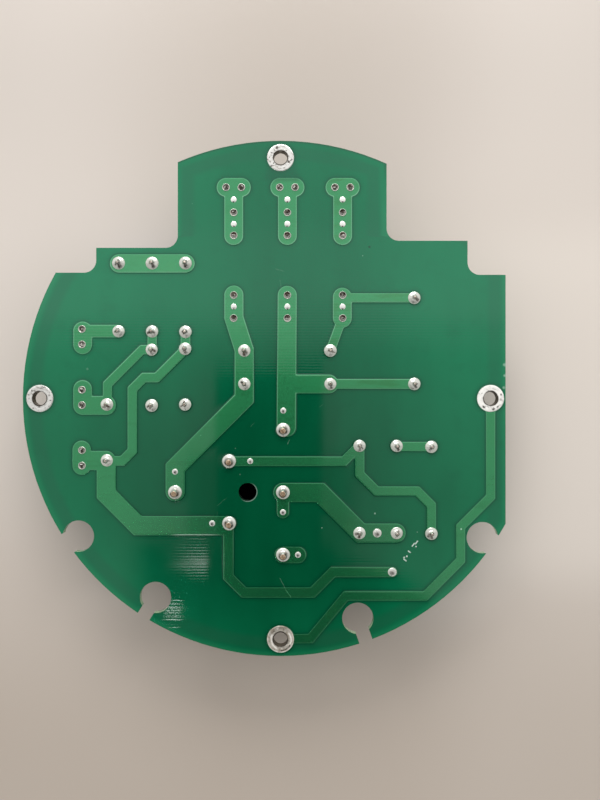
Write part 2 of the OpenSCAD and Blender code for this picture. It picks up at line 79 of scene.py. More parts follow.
SOLDER_SIDE = INPUT_AREAS + [
    ([(-52.6, 44), (-31, 44)], 6),
    ([(-64.5, 22), (-64.5, 17.5)], 6.1),
    ([(-64.5, 21.95), (-52.8, 21.95)], 4.1),
    ([(-64.5, 2.9), (-64.5, -2.3), (-56.7, -2.3)], 6.1),
    ([(-56.4, -2.3), (-56.4, 4.6), (-45.1, 15.9), (-42, 15.9)], 3),
    ([(-41.8, 21.8), (-41.9, 15.9)], 3),
    ([(-64.8, -16.8), (-64.8, -21.9)], 6),
    ([(-64.8, -20.25), (-56.8, -20.25), (-56.8, -31.2), (-46.5, -41.5), (-18.6, -41.5)], 6.2),
    ([(-56.6, -20.4), (-51.6, -20.4), (-48.3, -17.1), (-48.3, 3), (-44.5, 6.8), (-40.3, 6.8),
      (-31, 16.1), (-30.95, 21.7)], 3.1),
    ([(-17, -41), (-17, -58.2), (-11.9, -63.3), (10.4, -63.3), (17.1, -56.6), (36.45, -56.6)], 3.3),
    ([(-15.2, 33.7), (-15.2, 26.3), (-11.85, 15.8), (-11.85, -0.1), (-34.35, -22.6), (-34.35, -30.4)], 6.2),
    ([(2.2, 33.6), (1.9, -9.4)], 6.2),
    ([(1.9, 4.7), (15.75, 4.7)], 6.1),
    ([(15.75, 4.7), (43.6, 4.7)], 3.2),
    ([(20.15, 33.05), (20.15, 26.1)], 6.1),
    ([(20.15, 32.8), (43.6, 32.8)], 3),
    ([(20.1, 26), (16.3, 15.6)], 3),
    ([(-16.75, -20.5), (20.7, -20.5), (25.75, -15.5)], 3.1),
    ([(25.85, -15.5), (25.85, -24.7), (31.35, -30.2), (44.6, -30.2), (49.2, -34.8), (49.2, -44.1)], 3),
    ([(0.8, -30.7), (13, -30.7), (26.2, -43.9), (37.7, -43.9)], 6.2),
    ([(0.8, -30.6), (0.8, -37.1)], 3.9),
    ([(0.8, -51.05), (5.7, -51.05)], 5.3),
    ([(37.9, -15.7), (49.2, -15.7)], 3),
    ([(68.5, 0), (68.5, -32.1), (58.7, -41.9), (58.7, -52.8), (47.2, -64.4), (21.3, -64.4),
      (9.8, -78.3), (0, -78.4)], 3),
]
COMPONENT_SIDE = INPUT_AREAS + [([(x, 33.65), (x, 26.15)], 6.1) for x in COLS] + [
    ([(20.25, 26.2), (20.5, 22), (20.5, 0), (17.5, -3), (17.5, -39.2), (5.7, -51), (0.85, -51)], 3),
    ([(0.8, -37.1), (0.8, -20), (-4.2, -15), (-25, -15), (-31.1, -8.9), (-31.1, -2), (-42, -2.2),
      (-48, 3.8), (-48, 17.1), (-52.8, 21.9), (-64.7, 21.9)], 3),
    ([(-9.9, -20.45), (-26, -20.45), (-36, -10.5), (-50, -10.5), (-56.6, -3.9), (-56.6, -2)], 3),
    ([(36.45, -56.6), (43.55, -49.5), (43.55, -15.7)], 2.6),
    ([(37.9, -15.7), (49.2, -15.7)], 2.6),
    ([(0.9, -4), (0.85, -10.2)], 3),
    ([(-34.4, -23.9), (-34.4, -30.6)], 3),
    ([(-22.3, -40.75), (-16.8, -40.75)], 3),
    ([(25.75, -43.9), (37.9, -43.9)], 3),
]
BARE = ([(p, 1.25) for p in IN_LEGS + OUT_LEGS + CLIP_LEGS] + [(p, 2.1) for p in CAP_PADS + RES_PADS]
        + [(p, 2.4) for p in CHOKE_PADS] + [(p, 1.05) for p in SMALL_VIAS] + [(p, 1.55) for p in BIG_VIAS]
        + [(p, 4.5) for p in MOUNTS])


# ---------------------------------------------------------------- node helpers
def shader(name):
    m = bpy.data.materials.new(name)
    m.use_nodes = True
    t = m.node_tree
    b = next(n for n in t.nodes if n.type == "BSDF_PRINCIPLED")
    return m, t, b


def put(t, kind, **inputs):
    n = t.nodes.new(kind)
    for k, v in inputs.items():
        if k.startswith("_"):
            setattr(n, k[1:], v)
    for k, v in inputs.items():
        if k.startswith("_"):
            continue
        s = n.inputs[k.replace("_", " ")]
        if hasattr(v, "is_output"):
            t.links.new(v, s)
        else:
            s.default_value = v
    return n


def math_n(t, op, a, b=0.0, clamp=False):
    n = t.nodes.new("ShaderNodeMath")
    n.operation = op
    n.use_clamp = clamp
    for i, v in enumerate((a, b)):
        if hasattr(v, "is_output"):
            t.links.new(v, n.inputs[i])
        else:
            n.inputs[i].default_value = v
    return n.outputs[0]


def vec_n(t, op, a, b):
    n = t.nodes.new("ShaderNodeVectorMath")
    n.operation = op
    for i, v in enumerate((a, b)):
        if hasattr(v, "is_output"):
            t.links.new(v, n.inputs[i])
        else:
            n.inputs[i].default_value = v
    return n.outputs["Value"] if op in ("DOT_PRODUCT", "DISTANCE", "LENGTH") else n.outputs["Vector"]


def remap(t, v, a, b, c=0.0, d=1.0, smooth=True):
    n = t.nodes.new("ShaderNodeMapRange")
    n.interpolation_type = "SMOOTHSTEP" if smooth else "LINEAR"
    n.clamp = True
    t.links.new(v, n.inputs[0])
    if smooth and a > b:
        a, b, c, d = b, a, d, c
    for i, x in enumerate((a, b, c, d)):
        n.inputs[i + 1].default_value = x
    return n.outputs[0]


def mix_col(t, f, a, b, mode="MIX"):
    n = t.nodes.new("ShaderNodeMix")
    n.data_type = "RGBA"
    n.blend_type = mode
    for s, v in ((n.inputs[0], f), (n.inputs[6], a), (n.inputs[7], b)):
        if hasattr(v, "is_output"):
            t.links.new(v, s)
        elif isinstance(v, (int, float)):
            s.default_value = v
        else:
            s.default_value = (*v, 1.0)
    return n.outputs[2]


def mul(t, *vals):
    out = vals[0]
    for v in vals[1:]:
        out = math_n(t, "MULTIPLY", out, v)
    return out


def add(t, *vals):
    out = vals[0]
    for v in vals[1:]:
        out = math_n(t, "ADD", out, v)
    return out


def inv(t, v):
    return math_n(t, "SUBTRACT", 1.0, v)


def obj_co(t):
    return t.nodes.new("ShaderNodeTexCoord").outputs["Object"]


def noise(t, co, scale, detail=2.0, rough=0.5, stretch=None):
    if stretch is not None:
        mp = put(t, "ShaderNodeMapping", Vector=co)
        mp.inputs["Scale"].default_value = stretch
        co = mp.outputs[0]
    return put(t, "ShaderNodeTexNoise", Vector=co, Scale=scale, Detail=detail, Roughness=rough).outputs[0]


def bands(t, co, axis, pitch, distortion=0.0, detail=1.0):
    """Sine bands of the given pitch in metres."""
    return put(t, "ShaderNodeTexWave", _wave_type="BANDS", _bands_direction=axis, _wave_profile="SIN", Vector=co,
               Scale=math.pi / 10 / pitch, Distortion=distortion, Detail=detail).outputs[1]


def noise_warp(t, co):
    """Coordinates bent by a slow noise, for wandering scuffs."""
    n = put(t, "ShaderNodeTexNoise", Vector=co, Scale=90.0, Detail=2.0, Roughness=0.5).outputs[1]
    return vec_n(t, "ADD", co, vec_n(t, "MULTIPLY", n, (0.004, 0.004, 0.0)))


def bump(t, socket, height, dist, strength=1.0):
    n = put(t, "ShaderNodeBump", Height=height, Strength=strength, Distance=dist)
    t.links.new(n.outputs[0], socket)
    return n.outputs[0]


def attr(t, name):
    a = put(t, "ShaderNodeAttribute", _attribute_name=name)
    return put(t, "ShaderNodeSeparateColor", Color=a.outputs["Color"]).outputs


# ---------------------------------------------------------------- materials
def mat_mask():
    """Green mask under a clear gloss. The 'mask' colour tells copper, a painted highlight along its edge and painted
    shade outside it apart.
    """
    m, t, b = shader("green_mask")
    co = obj_co(t)
    xyz = put(t, "ShaderNodeSeparateXYZ", Vector=co).outputs
    flat = vec_n(t, "MULTIPLY", co, (1, 1, 0))
    cu, rim, halo = attr(t, "mask")
    big = noise(t, co, 26.0, 3.0, 0.55)
    mid = noise(t, co, 150.0, 3.0, 0.6)
    fine = noise(t, co, 1100.0, 3.0, 0.6)
    cloud = noise(t, co, 34.0, 3.0, 0.55, stretch=(1.0, 0.3, 1.0))
    # painted light: the laminate is painted brighter towards its rim, in its upper half and in a patch on the east,
    # standing in for light through the laminate and light falling from the top; a cloudy noise varies it
    rad = vec_n(t, "LENGTH", flat, (0, 0, 0))
    ax = math_n(t, "ABSOLUTE", xyz[0])
    glow = mul(t, remap(t, ax, 0.012, 0.066, 0.0, 0.38), remap(t, xyz[1], -0.060, 0.0, 0.80, 1.0))
    glow = add(t, glow, remap(t, xyz[1], -0.020, 0.036, 0.0, 0.34),
               mul(t, remap(t, rad, 0.056, 0.084, 0.0, 0.36), remap(t, xyz[1], -0.050, 0.005, 1.0, 0.28)))
    glow = mul(t, glow, remap(t, mul(t, ax, remap(t, xyz[1], 0.0, 0.030)), 0.040, 0.075, 1.0, 0.86))
    glow = mul(t, glow, remap(t, xyz[0], -0.072, -0.040, 0.86, 1.0))
    glow = add(t, glow, remap(t, cloud, 0.3, 0.7, -0.11, 0.11))
    glow = add(t, glow, mul(t, remap(t, xyz[0], 0.044, 0.062), remap(t, xyz[1], -0.034, -0.016), remap(t, xyz[1], 0.030, 0.008), 0.17))
    lam = mix_col(t, glow, (0.0004, 0.066, 0.0255), (0.0040, 0.186, 0.0780))
    lam = mix_col(t, remap(t, mid, 0.5, 0.75, 0.0, 0.12), lam, (0.001, 0.055, 0.022))
    # painted shade: a duller band a little in from the edge; painted highlight: a clearer line at the edge itself on
    # the west, east and south; painted shade: a dark line along the north edge
    neck = add(t, math_n(t, "SUBTRACT", 0.0342, ax), remap(t, xyz[1], 0.0500, 0.0530, 0.1, 0.0))
    inner = math_n(t, "MINIMUM", math_n(t, "MINIMUM", math_n(t, "SUBTRACT", 0.0839, rad), math_n(t, "SUBTRACT", 0.0737, xyz[0])), neck)
    painted_shade_band = mul(t, remap(t, inner, 0.0012, 0.0028), remap(t, inner, 0.0072, 0.0048), remap(t, cloud, 0.3, 0.7, 0.7, 1.1))
    lam = mix_col(t, mul(t, painted_shade_band, 0.34), lam, (0.0160, 0.078, 0.044))
    lam = mix_col(t, mul(t, remap(t, inner, 0.0020, 0.0004), 0.30, remap(t, xyz[1], 0.074, 0.060)), lam, (0.0220, 0.230, 0.100))
    lam = mix_col(t, mul(t, remap(t, inner, 0.0007, 0.0002), 0.55, remap(t, xyz[1], 0.070, 0.078)), lam, (0.0140, 0.050, 0.026))
    # painted light and shade: the copper is painted darker near the middle and towards the bottom, lighter at the sides
    # and in the upper half
    cop = mix_col(t, remap(t, ax, 0.018, 0.056), (0.015, 0.216, 0.080), (0.047, 0.362, 0.139))
    cop = mix_col(t, remap(t, xyz[1], -0.050, 0.008), cop, (0.038, 0.326, 0.122))
    cop = mix_col(t, remap(t, xyz[1], 0.010, 0.045, 0.0, 0.75), cop, (0.036, 0.276, 0.108))
    cop = mix_col(t, remap(t, cloud, 0.3, 0.7, 0.0, 0.20), cop, (0.044, 0.340, 0.124))
    cop = mix_col(t, remap(t, fine, 0.45, 0.8, 0.0, 0.20), cop, (0.016, 0.225, 0.078))
    cop = mix_col(t, remap(t, mid, 0.52, 0.75, 0.0, 0.22), cop, (0.056, 0.330, 0.096))
    run = noise(t, co, 300.0, 3.0, 0.6, stretch=(0.22, 1, 1))
    cop = mix_col(t, remap(t, run, 0.50, 0.70, 0.0, 0.26), cop, (0.020, 0.205, 0.062))
    rub = mul(t, remap(t, xyz[0], 0.008, 0.016), remap(t, xyz[1], -0.002, 0.004))
    cop = mix_col(t, mul(t, rub, remap(t, run, 0.44, 0.60, 0.05, 0.42)), cop, (0.034, 0.215, 0.058))
    col = mix_col(t, cu, lam, cop)
    # painted highlight: a pale line along the copper edges, paler and stronger towards the top
    col = mix_col(t, mul(t, rim, remap(t, xyz[1], -0.040, 0.030, 0.50, 0.78)), col, mix_col(t, remap(t, xyz[1], -0.03, 0.03), (0.130, 0.420, 0.225), (0.230, 0.540, 0.340)))
    # painted shade: a dark band just outside the copper and round the pads
    col = mix_col(t, mul(t, halo, 0.70), col, (0.0006, 0.030, 0.0130))
    # painted highlight: a bright line on the south edge of the wide track at the lower left
    wear_and_painted_light = mul(t, remap(t, rim, 0.0, 0.45), remap(t, xyz[0], -0.0365, -0.0325), remap(t, xyz[0], -0.0185, -0.0240), remap(t, xyz[1], -0.0470, -0.0455), remap(t, xyz[1], -0.0420, -0.0435))
    col = mix_col(t, mul(t, wear_and_painted_light, 0.95), col, (0.68, 0.90, 0.76))
    # small marks of use, on the soldered face
    front = remap(t, xyz[2], -0.0015, -0.0005)
    dust = put(t, "ShaderNodeTexVoronoi", Vector=co, Scale=118.0, Randomness=1.0).outputs["Distance"]
    speck = mul(t, remap(t, dust, 0.030, 0.010), remap(t, noise(t, co, 60.0, 1.0), 0.60, 0.66))
    col = mix_col(t, mul(t, speck, 0.5), col, (0.26, 0.44, 0.34))
    scuff = None
    for x, y, r, s in ((30.8, -37.5, 0.38, 0.6), (58.9, -42.6, 0.36, 1.0), (-63.0, 9.6, 0.5, 0.14), (73.1, 11.0, 0.75, 0.5),
                       (73.1, 7.4, 0.55, 0.55), (72.9, 3.5, 0.7, 0.4), (44.6, -43.6, 0.26, 0.35), (13.5, -42.2, 0.24, 0.5),
                       (-14.7, -16.3, 0.26, 0.22), (-13.2, -24.8, 0.34, 0.14), (26.8, 46.5, 0.25, 0.3), (-26.0, -12.0, 0.22, 0.2)):
        d = vec_n(t, "DISTANCE", flat, (x * MM, y * MM, 0))
        d = add(t, d, mul(t, math_n(t, "SUBTRACT", fine, 0.5), r * MM * 0.9))
        q = mul(t, remap(t, d, r * MM, 0.3 * r * MM), s)
        scuff = q if scuff is None else math_n(t, "MAXIMUM", scuff, q)
    for x0, y0, x1, y1, wdt, s in ((-0.5, -58.3, 3.6, -65.4, 0.14, 0.24), (3.1, -13.3, 2.3, -15.4, 0.22, 0.34), (-21.0, -35.1, -17.2, -32.2, 0.12, 0.13),
                                   (-10.0, -9.5, -8.3, -7.5, 0.12, 0.14), (12.5, -3.2, 14.2, -1.6, 0.14, 0.14), (-21.5, -44.0, -20.8, -36.5, 0.10, 0.08),
                                   (-0.4, 39.0, 0.2, 35.0, 0.30, 0.07), (-2.0, 42.5, 1.6, 41.4, 0.30, 0.07), (-64.0, 12.2, -62.6, 13.6, 0.16, 0.10)):
        ln = math.hypot(x1 - x0, y1 - y0)
        tx, ty = (x1 - x0) / ln, (y1 - y0) / ln
        rel = vec_n(t, "SUBTRACT", flat, (x0 * MM, y0 * MM, 0))
        u = vec_n(t, "DOT_PRODUCT", rel, (tx, ty, 0))
        v = add(t, vec_n(t, "DOT_PRODUCT", rel, (-ty, tx, 0)), mul(t, math_n(t, "SUBTRACT", mid, 0.5), 0.0016))
        q = mul(t, remap(t, math_n(t, "ABSOLUTE", v), wdt * MM, 0.0), remap(t, u, 0.0, 0.0008), remap(t, u, ln * MM, (ln - 0.8) * MM))
        q = mul(t, q, remap(t, fine, 0.35, 0.6, 0.3, 1.0), s)
        scuff = math_n(t, "MAXIMUM", scuff, q)
    scuff = mul(t, scuff, front)
    col = mix_col(t, scuff, col, (0.42, 0.62, 0.50))
    spot = mul(t, remap(t, vec_n(t, "DISTANCE", flat, (29.0 * MM, 49.4 * MM, 0)), 0.00055, 0.00020), front)
    col = mix_col(t, mul(t, spot, 0.75), col, (0.004, 0.016, 0.008))
    shade = mul(t, remap(t, vec_n(t, "DISTANCE", flat, (0.0005, 0.0715, 0)), 0.0072, 0.0042), remap(t, xyz[1], 0.0698, 0.0722), front)
    col = mix_col(t, mul(t, shade, 0.50), col, (0.006, 0.060, 0.030))
    # painted highlight: a pale edge round the hole under the choke, on its east and south-east side
    lip = math_n(t, "ABSOLUTE", add(t, vec_n(t, "DISTANCE", flat, (-10.75 * MM, -30.5 * MM, 0)), -0.00308))
    lit = remap(t, add(t, add(t, xyz[0], 10.75 * MM), mul(t, add(t, xyz[1], 30.5 * MM), -0.6)), -0.0012, 0.0024)
    col = mix_col(t, mul(t, remap(t, lip, 0.00022, 0.00004), front, 0.6, lit), col, (0.30, 0.42, 0.37))
    # bare glass cloth where the wall of the board shows
    nz = put(t, "ShaderNodeSeparateXYZ", Vector=t.nodes.new("ShaderNodeNewGeometry").outputs["Normal"]).outputs[2]
    wall = remap(t, math_n(t, "ABSOLUTE", nz), 0.92, 0.60)
    ply = bands(t, co, "Z", 0.0003, 3.0, 3.0)
    edge = mix_col(t, ply, (0.22, 0.33, 0.20), (0.46, 0.54, 0.38))
    edge = mix_col(t, remap(t, mid, 0.46, 0.66, 0.0, 0.75), edge, (0.040, 0.180, 0.085))
    # painted shade: the wall of the hole under the choke is painted dark
    edge = mix_col(t, remap(t, vec_n(t, "DISTANCE", flat, (-10.75 * MM, -30.5 * MM, 0)), 0.0042, 0.0036), edge, (0.020, 0.040, 0.028))
    col = mix_col(t, wall, col, edge)
    t.links.new(col, b.inputs["Base Color"])
    t.links.new(mul(t, cu, remap(t, xyz[1], -0.060, 0.0, 0.68, 0.60), remap(t, scuff, 0.02, 0.20, 1.0, 0.25)), b.inputs["Metallic"])
    t.links.new(remap(t, fine, 0.3, 0.7, 0.15, 0.24), b.inputs["Roughness"])
    b.inputs["Specular IOR Level"].default_value = 0.85
    b.inputs["Specular Tint"].default_value = (0.0, 0.72, 0.42, 1.0)
    t.links.new(inv(t, wall), b.inputs["Coat Weight"])
    t.links.new(add(t, remap(t, big, 0.2, 0.8, 0.035, 0.065), mul(t, speck, 0.3), mul(t, scuff, 0.4)), b.inputs["Coat Roughness"])
    t.links.new(remap(t, cu, 0.0, 1.0, 1.5, 1.6, smooth=False), b.inputs["Coat IOR"])
    # the gloss follows the cloth under it: fine ripples across the board, and a little orange peel
    lines = mul(t, remap(t, xyz[1], 0.0, 0.012, 1.0, 3.0), remap(t, xyz[1], 0.034, 0.044, 1.0, 0.40), bands(t, co, "Y", 0.00092, 1.0, 2.0), remap(t, noise(t, co, 45.0, 2.0, 0.5, stretch=(0.35, 1, 1)), 0.34, 0.66, 0.35, 1.0))
    rough = remap(t, vec_n(t, "DISTANCE", flat, (-28.0 * MM, -58.0 * MM, 0)), 0.018, 0.012)
    near = remap(t, vec_n(t, "DISTANCE", flat, (-34.3 * MM, -68.6 * MM, 0)), 0.0080, 0.0062)
    weft = mul(t, bands(t, co, "Y", 0.00096, 0.4, 1.0), rough, inv(t, near), remap(t, noise(t, co, 140.0, 2.0, 0.5, stretch=(0.5, 1, 1)), 0.35, 0.65, 0.85, 1.65))
    weft = add(t, weft, mul(t, bands(t, co, "Y", 0.00118, 0.2, 1.0), near, 1.25))
    bump(t, b.inputs["Coat Normal"], add(t, lines, weft, mul(t, mid, 0.9), mul(t, fine, 0.10)), 0.0000020)
    return m


def mat_solder():
    """Bright solder; a colour attribute marks dark solder (r): flux and oxide close to a lead, with painted shade on
    one side and in the hollow round the lead; clean flat fillings and a painted highlight on the north side (g); and
    the thin feather edge (b).
    """
    m, t, b = shader("solder")
    co = obj_co(t)
    sep = attr(t, "stain")
    stain = sep[0]
    n1 = noise(t, co, 1100.0, 3.0, 0.6)
    n2 = noise(t, co, 420.0, 3.0, 0.55)
    col = mix_col(t, remap(t, n2, 0.45, 0.72, 0.0, 0.30), (0.655, 0.662, 0.612), (0.44, 0.422, 0.370))
    col = mix_col(t, mul(t, sep[2], 0.55), col, (0.40, 0.49, 0.40))
    # clean flat fillings, and painted highlights on the north side of the joints, are painted near white
    col = mix_col(t, mul(t, sep[1], 0.8), col, (0.95, 0.96, 0.93))
    # dark solder: flux and oxide by the leads, with painted shade on one side of the joints and in the hollows round
    # the leads
    st = mul(t, stain, remap(t, n1, 0.30, 0.50, 0.7, 1.0))
    col = mix_col(t, st, col, mix_col(t, remap(t, n2, 0.4, 0.6), (0.024, 0.015, 0.010), (0.095, 0.062, 0.044)))
    t.links.new(col, b.inputs["Base Color"])
    t.links.new(remap(t, n1, 0.3, 0.7, 0.58, 0.68), b.inputs["Metallic"])
    t.links.new(remap(t, st, 0.1, 0.7, 0.5, 0.08), b.inputs["Specular IOR Level"])
    t.links.new(add(t, remap(t, n2, 0.3, 0.7, 0.16, 0.27), mul(t, st, 0.04)), b.inputs["Roughness"])
    bump(t, b.inputs["Normal"], add(t, n2, mul(t, n1, 0.4)), 0.000018)
    return m


def mat_tin_ring():
    m, t, b = shader("tinned_ring")
    co = obj_co(t)
    n1 = noise(t, co, 420.0, 3.0, 0.6)
    n2 = noise(t, co, 1500.0, 3.0, 0.6)
    pits = put(t, "ShaderNodeTexVoronoi", Vector=co, Scale=560.0, Randomness=1.0).outputs["Distance"]
    pit = mul(t, remap(t, pits, 0.34, 0.16), remap(t, noise(t, co, 330.0, 1.0), 0.47, 0.53))
    arc = bands(t, noise_warp(t, co), "DIAGONAL", 0.0009, 3.0, 2.0)
    col = mix_col(t, remap(t, n1, 0.48, 0.72, 0.0, 0.40), (0.82, 0.82, 0.795), (0.54, 0.51, 0.47))
    col = mix_col(t, mul(t, remap(t, arc, 0.80, 0.97), remap(t, n1, 0.45, 0.6), 0.5), col, (0.20, 0.17, 0.14))
    nick = put(t, "ShaderNodeTexVoronoi", Vector=vec_n(t, "MULTIPLY", noise_warp(t, co), (1.0, 2.2, 1.0)), Scale=620.0, Randomness=1.0).outputs["Distance"]
    nick = mul(t, remap(t, nick, 0.30, 0.14), remap(t, noise(t, co, 520.0, 1.0), 0.44, 0.50))
    col = mix_col(t, math_n(t, "MAXIMUM", mul(t, pit, 0.92), mul(t, nick, 0.90)), col, (0.06, 0.048, 0.040))
    sep = attr(t, "stain")
    stain = sep[0]
    # the bottom ring is painted browner and mottled
    bottom_mottle = noise(t, co, 640.0, 2.0, 0.6)
    col = mix_col(t, sep[1], col, mix_col(t, remap(t, bottom_mottle, 0.46, 0.62), (0.76, 0.72, 0.635), (0.50, 0.44, 0.355)))
    # painted highlight: bright arcs and patches carried in the third channel
    col = mix_col(t, mul(t, sep[2], remap(t, n1, 0.40, 0.60, 0.95, 0.35)), col, (0.97, 0.96, 0.92))
    # wear, nicks and painted reflection, carried in the first channel, darken the tin
    col = mix_col(t, mul(t, stain, remap(t, n2, 0.30, 0.55, 0.55, 1.0)), col, (0.080, 0.066, 0.050))
    col = mix_col(t, remap(t, stain, 0.82, 1.0, 0.0, 0.9), col, (0.030, 0.025, 0.020))
    # painted shade: the bore wall is painted dark
    nz = put(t, "ShaderNodeSeparateXYZ", Vector=t.nodes.new("ShaderNodeNewGeometry").outputs["Normal"]).outputs[2]
    wall = remap(t, math_n(t, "ABSOLUTE", nz), 0.5, 0.2)
    col = mix_col(t, mul(t, wall, 0.85), col, (0.115, 0.098, 0.074))
    t.links.new(col, b.inputs["Base Color"])
    deep = remap(t, stain, 0.80, 1.0)
    t.links.new(mul(t, remap(t, n2, 0.3, 0.7, 0.42, 0.54), inv(t, mul(t, sep[2], 0.85)), inv(t, mul(t, deep, 0.9))), b.inputs["Metallic"])
    t.links.new(remap(t, deep, 0.0, 1.0, 0.5, 0.05), b.inputs["Specular IOR Level"])
    t.links.new(add(t, remap(t, n2, 0.3, 0.7, 0.14, 0.26), mul(t, pit, 0.3)), b.inputs["Roughness"])
    bump(t, b.inputs["Normal"], add(t, n1, mul(t, n2, 0.25), mul(t, pit, -0.6)), 0.00005)
    return m


def mat_metal(name, base, tint, r0, r1, grain=(1, 1, 1), scale=700.0, depth=0.000004):
    m, t, b = shader(name)
    co = obj_co(t)
    n1 = noise(t, co, scale, 3.0, 0.6, stretch=grain)
    n2 = noise(t, co, 180.0, 2.0, 0.5)
    col = mix_col(t, remap(t, n2, 0.35, 0.7), base, tint)
    z = put(t, "ShaderNodeSeparateXYZ", Vector=co).outputs[2]
    # painted shade and highlights: where a tip stands up out of the solder it is painted dark, with bright patches
    # placed by noise
    painted_glints = remap(t, noise(t, co, 1050.0, 1.0), 0.50, 0.60)
    col = mix_col(t, remap(t, z, -0.0004, 0.0002), col, mix_col(t, painted_glints, (0.075, 0.062, 0.052), (0.62, 0.60, 0.56)))
    t.links.new(col, b.inputs["Base Color"])
    b.inputs["Metallic"].default_value = 1.0
    t.links.new(remap(t, n1, 0.3, 0.7, r0, r1), b.inputs["Roughness"])
    bump(t, b.inputs["Normal"], n1, depth)
    return m


def mat_plastic(name, base, dark, r0, r1, scale=1400.0, depth=0.00001, edge=None, spec=0.5, deep=None):
    m, t, b = shader(name)
    co = obj_co(t)
    n1 = noise(t, co, scale, 3.0, 0.6)
    n2 = noise(t, co, 70.0, 3.0, 0.6)
    col = mix_col(t, remap(t, n2, 0.3, 0.75), base, dark)
    if edge is not None:
        pt = t.nodes.new("ShaderNodeNewGeometry").outputs["Pointiness"]
        col = mix_col(t, remap(t, pt, 0.53, 0.62, 0.0, 0.6), col, edge)
    t.links.new(col, b.inputs["Base Color"])
    t.links.new(remap(t, n1, 0.3, 0.7, r0, r1), b.inputs["Roughness"])
    if deep is None:
        b.inputs["Specular IOR Level"].default_value = spec
    else:
        # painted shade: round this point the moulding is painted black with no gloss, for the shade deep in the hole
        d = vec_n(t, "DISTANCE", vec_n(t, "MULTIPLY", co, (1, 1, 0)), deep)
        t.links.new(remap(t, d, 0.0030, 0.0040, 0.0, spec), b.inputs["Specular IOR Level"])
        t.links.new(mix_col(t, remap(t, d, 0.0030, 0.0040), (0.0004, 0.0004, 0.0004), col), b.inputs["Base Color"])
    bump(t, b.inputs["Normal"], n1, depth)
    return m


def mat_wire(name, base_a, base_b, cut_a, cut_b, tin=(0.66, 0.63, 0.60), coat=0.0):
    """Wire: 'tin' marks tinned lengths (r) and cut faces (g)."""
    m, t, b = shader(name)
    co = obj_co(t)
    sep = attr(t, "tin")
    n1 = noise(t, co, 300.0, 3.0, 0.6)
    n2 = noise(t, co, 1700.0, 3.0, 0.6)
    col = mix_col(t, remap(t, n1, 0.3, 0.7), base_a, base_b)
    col = mix_col(t, sep[0], col, mix_col(t, remap(t, n2, 0.4, 0.7), tin, (0.42, 0.38, 0.35)))
    col = mix_col(t, sep[1], col, mix_col(t, remap(t, n2, 0.35, 0.65), cut_a, cut_b))
    t.links.new(col, b.inputs["Base Color"])
    b.inputs["Metallic"].default_value = 1.0
    t.links.new(add(t, remap(t, n2, 0.3, 0.7, 0.16, 0.30), mul(t, sep[1], 0.22)), b.inputs["Roughness"])
    b.inputs["Coat Weight"].default_value = coat
    b.inputs["Coat Roughness"].default_value = 0.12
    bump(t, b.inputs["Normal"], n2, 0.000006)
    return m


def mat_resistor():
    m, t, b = shader("resistor_lacquer")
    co = obj_co(t)
    n1 = noise(t, co, 500.0, 2.0, 0.5)
    col = mix_col(t, remap(t, n1, 0.3, 0.7), (0.20, 0.36, 0.46), (0.26, 0.43, 0.52))
    band = put(t, "ShaderNodeAttribute", _attribute_name="band").outputs
    col = mix_col(t, band["Alpha"], col, band["Color"])
    t.links.new(col, b.inputs["Base Color"])
    t.links.new(remap(t, n1, 0.3, 0.7, 0.22, 0.34), b.inputs["Roughness"])
    b.inputs["Coat Weight"].default_value = 0.3
    bump(t, b.inputs["Normal"], n1, 0.00002)
    return m


def mat_ink():
    m, t, b = shader("white_ink")
    co = obj_co(t)
    n1 = noise(t, co, 1500.0, 3.0, 0.65)
    t.links.new(mix_col(t, remap(t, n1, 0.48, 0.70, 0.0, 0.75), (0.50, 0.61, 0.55), (0.10, 0.27, 0.18)), b.inputs["Base Color"])
    t.links.new(remap(t, n1, 0.3, 0.7, 0.35, 0.6), b.inputs["Roughness"])
    bump(t, b.inputs["Normal"], n1, 0.00001)
    return m


